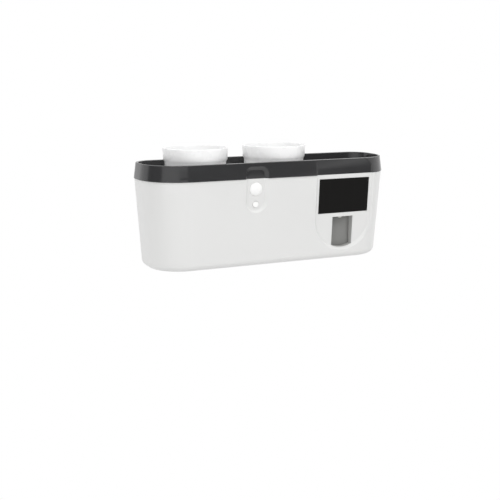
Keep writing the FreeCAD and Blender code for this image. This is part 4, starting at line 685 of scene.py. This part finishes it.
@dataclass
class Pump:
    """Soft and sprung pieces of the push pump.

    Attributes:
        x: Middle of the pump.
        height: Height of its axis.
        base_front: Front of the pump's base.
        lug_back: Back of the paddle's lugs, where the springs start.
        plunger_back: Back of the paddle's plunger, where the bellows start.
        travel: How far the paddle goes back; not used.
        rod_offset: Distance of each guide rod from the middle.
        coil_radius: Radius of a spring's coil.
        wire_radius: Radius of its wire.
        end_gap: Free length at each end of a spring.
        turns: Turns of a spring.
        turn_steps: Faces along one turn.
        wire_steps: Faces round the wire.
        fold_crest: Radius of the bellows at a crest.
        fold_root: Radius between two crests.
        folds: Number of crests.
        fold_steps: Faces along one fold.
        skin: Thickness of the bellows.
        collar: Length of the plain collar at each end.
    """

    x: float = 85.4
    height: float = -8.0
    base_front: float = -42.0
    lug_back: float = -62.0
    plunger_back: float = -66.0
    travel: float = 10.0
    rod_offset: float = 16.5
    coil_radius: float = 3.0
    wire_radius: float = 0.4
    end_gap: float = 0.5
    turns: int = 5
    turn_steps: int = 40
    wire_steps: int = 10
    fold_crest: float = 11.0
    fold_root: float = 8.2
    folds: int = 4
    fold_steps: int = 16
    skin: float = 0.8
    collar: float = 1.5

    def build(self) -> None:
        """Make the springs and the bellows."""
        self.build_springs()
        self.build_bellows()

    def build_springs(self) -> None:
        """Wind both springs with one tree of Geometry Nodes."""
        tree = self.spring_tree()
        host = link("spring_host", bpy.data.meshes.new("spring_host"))
        modifier = host.modifiers.new("winding", "NODES")
        modifier.node_group = tree
        mesh = bake(host)
        mesh.shade_smooth()
        piece = finish_piece(mesh, "paddle_springs", Finishes.STEEL, "housing", ["return_springs"])
        self.shorten(piece)

    def spring_tree(self) -> bpy.types.NodeTree:
        """Tree that winds one helix and sets it on both guide rods.

        Returns:
            The tree, with its sizes as named inputs.
        """
        tree = bpy.data.node_groups.new("spring_winding", "GeometryNodeTree")
        sizes = {
            "Coil Radius": self.coil_radius * MM,
            "Wire Radius": self.wire_radius * MM,
            "Length": (self.base_front - self.lug_back - self.end_gap * 2) * MM,
            "Turns": float(self.turns),
        }
        for name, size in sizes.items():
            socket = tree.interface.new_socket(name, in_out="INPUT", socket_type="NodeSocketFloat")
            socket.default_value = size
        tree.interface.new_socket("Geometry", in_out="OUTPUT", socket_type="NodeSocketGeometry")
        given = add(tree, "NodeGroupInput").outputs
        helix = add(tree, "GeometryNodeCurveSpiral", {
            "Resolution": self.turn_steps, "Rotations": given["Turns"],
            "Start Radius": given["Coil Radius"], "End Radius": given["Coil Radius"],
            "Height": given["Length"]})
        ring = add(tree, "GeometryNodeCurvePrimitiveCircle", {
            "Resolution": self.wire_steps, "Radius": given["Wire Radius"]})
        wire = add(tree, "GeometryNodeCurveToMesh", {
            "Curve": helix.outputs[0], "Profile Curve": ring.outputs[0], "Fill Caps": True})
        start = Vector((self.x - self.rod_offset, self.lug_back + self.end_gap, self.height))
        spots = add(tree, "GeometryNodeMeshLine", {
            "Count": 2, "Start Location": start * MM,
            "Offset": Vector((self.rod_offset * 2, 0, 0)) * MM})
        both = add(tree, "GeometryNodeInstanceOnPoints", {
            "Points": spots.outputs[0], "Instance": wire.outputs[0], "Rotation": (-math.pi / 2, 0, 0)})
        real = add(tree, "GeometryNodeRealizeInstances", {0: both.outputs[0]})
        coloured = add(tree, "GeometryNodeSetMaterial", {
            0: real.outputs[0], "Material": Finishes.STEEL.material()})
        add(tree, "NodeGroupOutput", {"Geometry": coloured.outputs[0]})
        return tree

    def build_bellows(self) -> None:
        """Turn the bellows' folds as smooth waves between two collars."""
        length = self.base_front - self.plunger_back
        mean = (self.fold_crest + self.fold_root) / 2
        swing = (self.fold_crest - self.fold_root) / 2
        steps = self.folds * self.fold_steps
        wave = []
        for step in range(steps + 1):
            share = step / steps
            radius = mean - swing * math.cos(2 * math.pi * self.folds * share)
            wave.append((radius, self.collar + (length - self.collar * 2) * share))
        outside = [(0.0, 0.0), (self.fold_root, 0.0)] + wave + [(self.fold_root, length)]
        inside = [(radius - self.skin, height) for radius, height in reversed(wave)]
        profile = outside + [(self.fold_root - self.skin, length)] + inside + [(0.0, self.collar)]
        mesh = lathe(profile, (self.x, self.plunger_back, self.height))
        piece = finish_piece(mesh, "paste_bellows", Finishes.SILICONE, "housing", ["pump_bellows"])
        self.shorten(piece)

    def shorten(self, piece: bpy.types.Object) -> None:
        """Give a piece its own copy of its mesh."""
        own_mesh(piece)


@dataclass
class Studio:
    """White floor and backdrop, grey cards, soft lamps and the camera.

    Attributes:
        focal_px: Focal length in pixels of the picture.
        picture_px: Width of the picture.
        sensor_mm: Width of the camera's sensor.
        yaw_deg: How far the camera stands to the left of the front.
        pitch_deg: How far it stands above.
        distance: Its distance from the aim.
        aim: Point that the camera looks at.
        middle: Point that lamps and cards face.
        floor_level: Height of the floor.
        floor_half_m: Half the floor's width in metres.
        light: Strength of the light all round.
        paper: Colour with which the floor sends light back.
        card: Colour of the cards.
    """

    focal_px: float = 895.0
    picture_px: float = 500.0
    sensor_mm: float = 36.0
    yaw_deg: float = 24.6
    pitch_deg: float = 11.3
    distance: float = 1061.0
    aim: tuple[float, float, float] = (-22.5, -51.0, -25.9)
    middle: tuple[float, float, float] = (0.0, -45.0, 20.0)
    floor_level: float = -320.0
    floor_half_m: float = 6.0
    light: float = 1.13
    paper: str = "#D4D4D4"
    card: str = "#3A3A3A"

    def build(self) -> None:
        """Set the stage, the lamps and the camera."""
        bpy.context.scene.view_settings.view_transform = "Standard"
        self.build_camera()
        self.build_world()
        self.build_floor()
        self.build_card("front_card", (820, -1900, 200), (1450, 1000))
        self.build_card("strip_card", (-252, -2050, 130), (820, 500))
        self.build_card("side_card", (-1500, -60, 150), (1200, 900))
        self.build_lamps()

    def build_camera(self) -> None:
        """Camera in front of the holder, to its left and a little above it."""
        yaw, pitch = math.radians(self.yaw_deg), math.radians(self.pitch_deg)
        back = Vector((-math.sin(yaw) * math.cos(pitch), -math.cos(yaw) * math.cos(pitch),
                       math.sin(pitch)))
        right = Vector((math.cos(yaw), -math.sin(yaw), 0))
        turned = Matrix((right, back.cross(right), back)).transposed()
        lens = bpy.data.cameras.new("camera")
        lens.sensor_width = self.sensor_mm
        lens.lens = self.focal_px * self.sensor_mm / self.picture_px
        camera = link("camera", lens)
        spot = (Vector(self.aim) + back * self.distance) * MM
        camera.matrix_world = Matrix.Translation(spot) @ turned.to_4x4()
        bpy.context.scene.camera = camera

    def build_world(self) -> None:
        """Even pale light all round, and white where the camera or a reflection looks past the holder."""
        world = bpy.data.worlds.new("studio")
        world.use_nodes = True
        tree = world.node_tree
        tree.nodes.clear()
        seen = self.seen_rays(tree)
        light = add(tree, "ShaderNodeBackground", {"Color": linear(WHITE), "Strength": self.light})
        white = add(tree, "ShaderNodeBackground", {"Color": linear(WHITE), "Strength": 1.0})
        mix = add(tree, "ShaderNodeMixShader", {0: seen, 1: light.outputs[0], 2: white.outputs[0]})
        add(tree, "ShaderNodeOutputWorld", {"Surface": mix.outputs[0]})
        bpy.context.scene.world = world

    def seen_rays(self, tree: bpy.types.NodeTree) -> bpy.types.NodeSocket:
        """Test for rays from the camera, from a reflection or through a clear piece.

        Args:
            tree: Tree of the world or of a material.

        Returns:
            Socket that is one for such rays.
        """
        rays = add(tree, "ShaderNodeLightPath")
        seen = rays.outputs["Is Camera Ray"]
        for name in ("Is Glossy Ray", "Is Transmission Ray"):
            either = add(tree, "ShaderNodeMath", {0: seen, 1: rays.outputs[name]}, operation="MAXIMUM")
            seen = either.outputs[0]
        return seen

    def bare_material(self, name: str) -> bpy.types.Material:
        """Material with an empty tree, for a piece of the studio."""
        made = bpy.data.materials.new(name)
        made.use_nodes = True
        made.node_tree.nodes.clear()
        return made

    def build_floor(self) -> None:
        """Wide floor far below the holder, which sends light up and looks white to the camera."""
        work = bmesh.new()
        bmesh.ops.create_grid(work, x_segments=1, y_segments=1, size=self.floor_half_m)
        bmesh.ops.translate(work, verts=work.verts, vec=(0, 0, self.floor_level * MM))
        mesh = close_work(work, "floor")
        paper = self.bare_material("paper_white")
        tree = paper.node_tree
        plain = add(tree, "ShaderNodeBsdfDiffuse", {"Color": linear(self.paper)})
        glow = add(tree, "ShaderNodeEmission", {"Color": linear(WHITE), "Strength": 1.0})
        mix = add(tree, "ShaderNodeMixShader", {0: self.seen_rays(tree), 1: plain.outputs[0],
                                                2: glow.outputs[0]})
        add(tree, "ShaderNodeOutputMaterial", {"Surface": mix.outputs[0]})
        mesh.materials.append(paper)
        floor = link("floor", mesh)

    def build_card(self, name: str, spot: tuple[float, float, float], size: tuple[float, float]) -> None:
        """Grey card out of the picture, which the upright faces reflect in place of white.

        Args:
            name: Name of the card.
            spot: Where its middle stands.
            size: Its width and height.
        """
        work = bmesh.new()
        bmesh.ops.create_grid(work, x_segments=1, y_segments=1, size=0.5)
        place = Vector(spot) * MM
        turned = (Vector(self.middle) * MM - place).to_track_quat("Z", "Y").to_matrix().to_4x4()
        bmesh.ops.scale(work, verts=work.verts, vec=(size[0] * MM, size[1] * MM, 1))
        bmesh.ops.transform(work, verts=work.verts, matrix=Matrix.Translation(place) @ turned)
        mesh = close_work(work, name)
        grey = self.bare_material(f"{name}_grey")
        plain = add(grey.node_tree, "ShaderNodeBsdfDiffuse", {"Color": linear(self.card)})
        add(grey.node_tree, "ShaderNodeOutputMaterial", {"Surface": plain.outputs[0]})
        mesh.materials.append(grey)
        card = link(name, mesh)
        card.visible_camera = False

    def build_lamps(self) -> None:
        """Softboxes high at the front and at the front left, which no reflection shows."""
        self.build_lamp("high_front", (510, -1115, 1030), 700, 4.5)
        self.build_lamp("corner", (-1150, -1150, 150), 600, 4.0)

    def build_lamp(self, name: str, spot: tuple[float, float, float], size: float, power: float) -> None:
        """Square area lamp that faces the middle of the holder.

        Args:
            name: Name of the lamp.
            spot: Where it stands.
            size: Length of its side.
            power: Power in watts.
        """
        light = bpy.data.lights.new(name, "AREA")
        light.size = size * MM
        light.energy = power
        lamp = link(name, light)
        lamp.location = Vector(spot) * MM
        lamp.visible_glossy = False
        towards = Vector(self.middle) - Vector(spot)
        lamp.rotation_euler = towards.to_track_quat("-Z", "Y").to_euler()


def main() -> None:
    """Build the classes in order."""
    logging.basicConfig(level=logging.INFO, format="%(name)s: %(message)s")
    Studio().build()
    CadPieces("wall", {"wall_plate": Finishes.COVER, "adhesive_pad": Finishes.FOAM}).build()
    Housing().build()
    CadPieces("housing", {
        "rear_cover": Finishes.COVER, "cover_screws": Finishes.STEEL,
        "brush_rack": Finishes.RACK, "chamber_divider": Finishes.ACETAL, "reflector_panel": Finishes.BRIGHT,
        "light_board": Finishes.BOARD, "light_diodes": Finishes.DIODE, "light_board_screws": Finishes.STEEL,
        "solar_window": Finishes.WINDOW, "solar_cell": Finishes.CELL, "sensor_lens": Finishes.LENS,
        "sensor_can": Finishes.STEEL, "sensor_board": Finishes.BOARD, "sensor_board_screws": Finishes.STEEL,
        "button_switch": Finishes.RESIN, "dispenser_frame": Finishes.ACETAL, "frame_screws": Finishes.STEEL,
        "pump_base": Finishes.ACETAL, "tube_socket": Finishes.SILICONE, "socket_ring": Finishes.RING,
        "inlet_valve": Finishes.SILICONE, "outlet_nozzle": Finishes.SILICONE, "guide_rods": Finishes.STEEL,
        "battery_cell": Finishes.WRAP, "battery_cradle": Finishes.ACETAL, "main_board": Finishes.BOARD,
        "board_chips": Finishes.RESIN, "charge_socket": Finishes.STEEL,
    }).build()
    CadPieces("tray", {"storage_tray": Finishes.TRAY}, edge=0.35).build()
    Cup("cup_left", "left_cup", (-88, -44.65)).build()
    Cup("cup_right", "right_cup", (11, -44.65)).build()
    CadPieces("button", {"mode_button": Finishes.BUTTON}).build()
    CadPieces("paddle", {"push_paddle": Finishes.PADDLE}).build()
    MouthShadeSleeve().build()
    Pump().build()


if __name__ == "__main__":
    main()
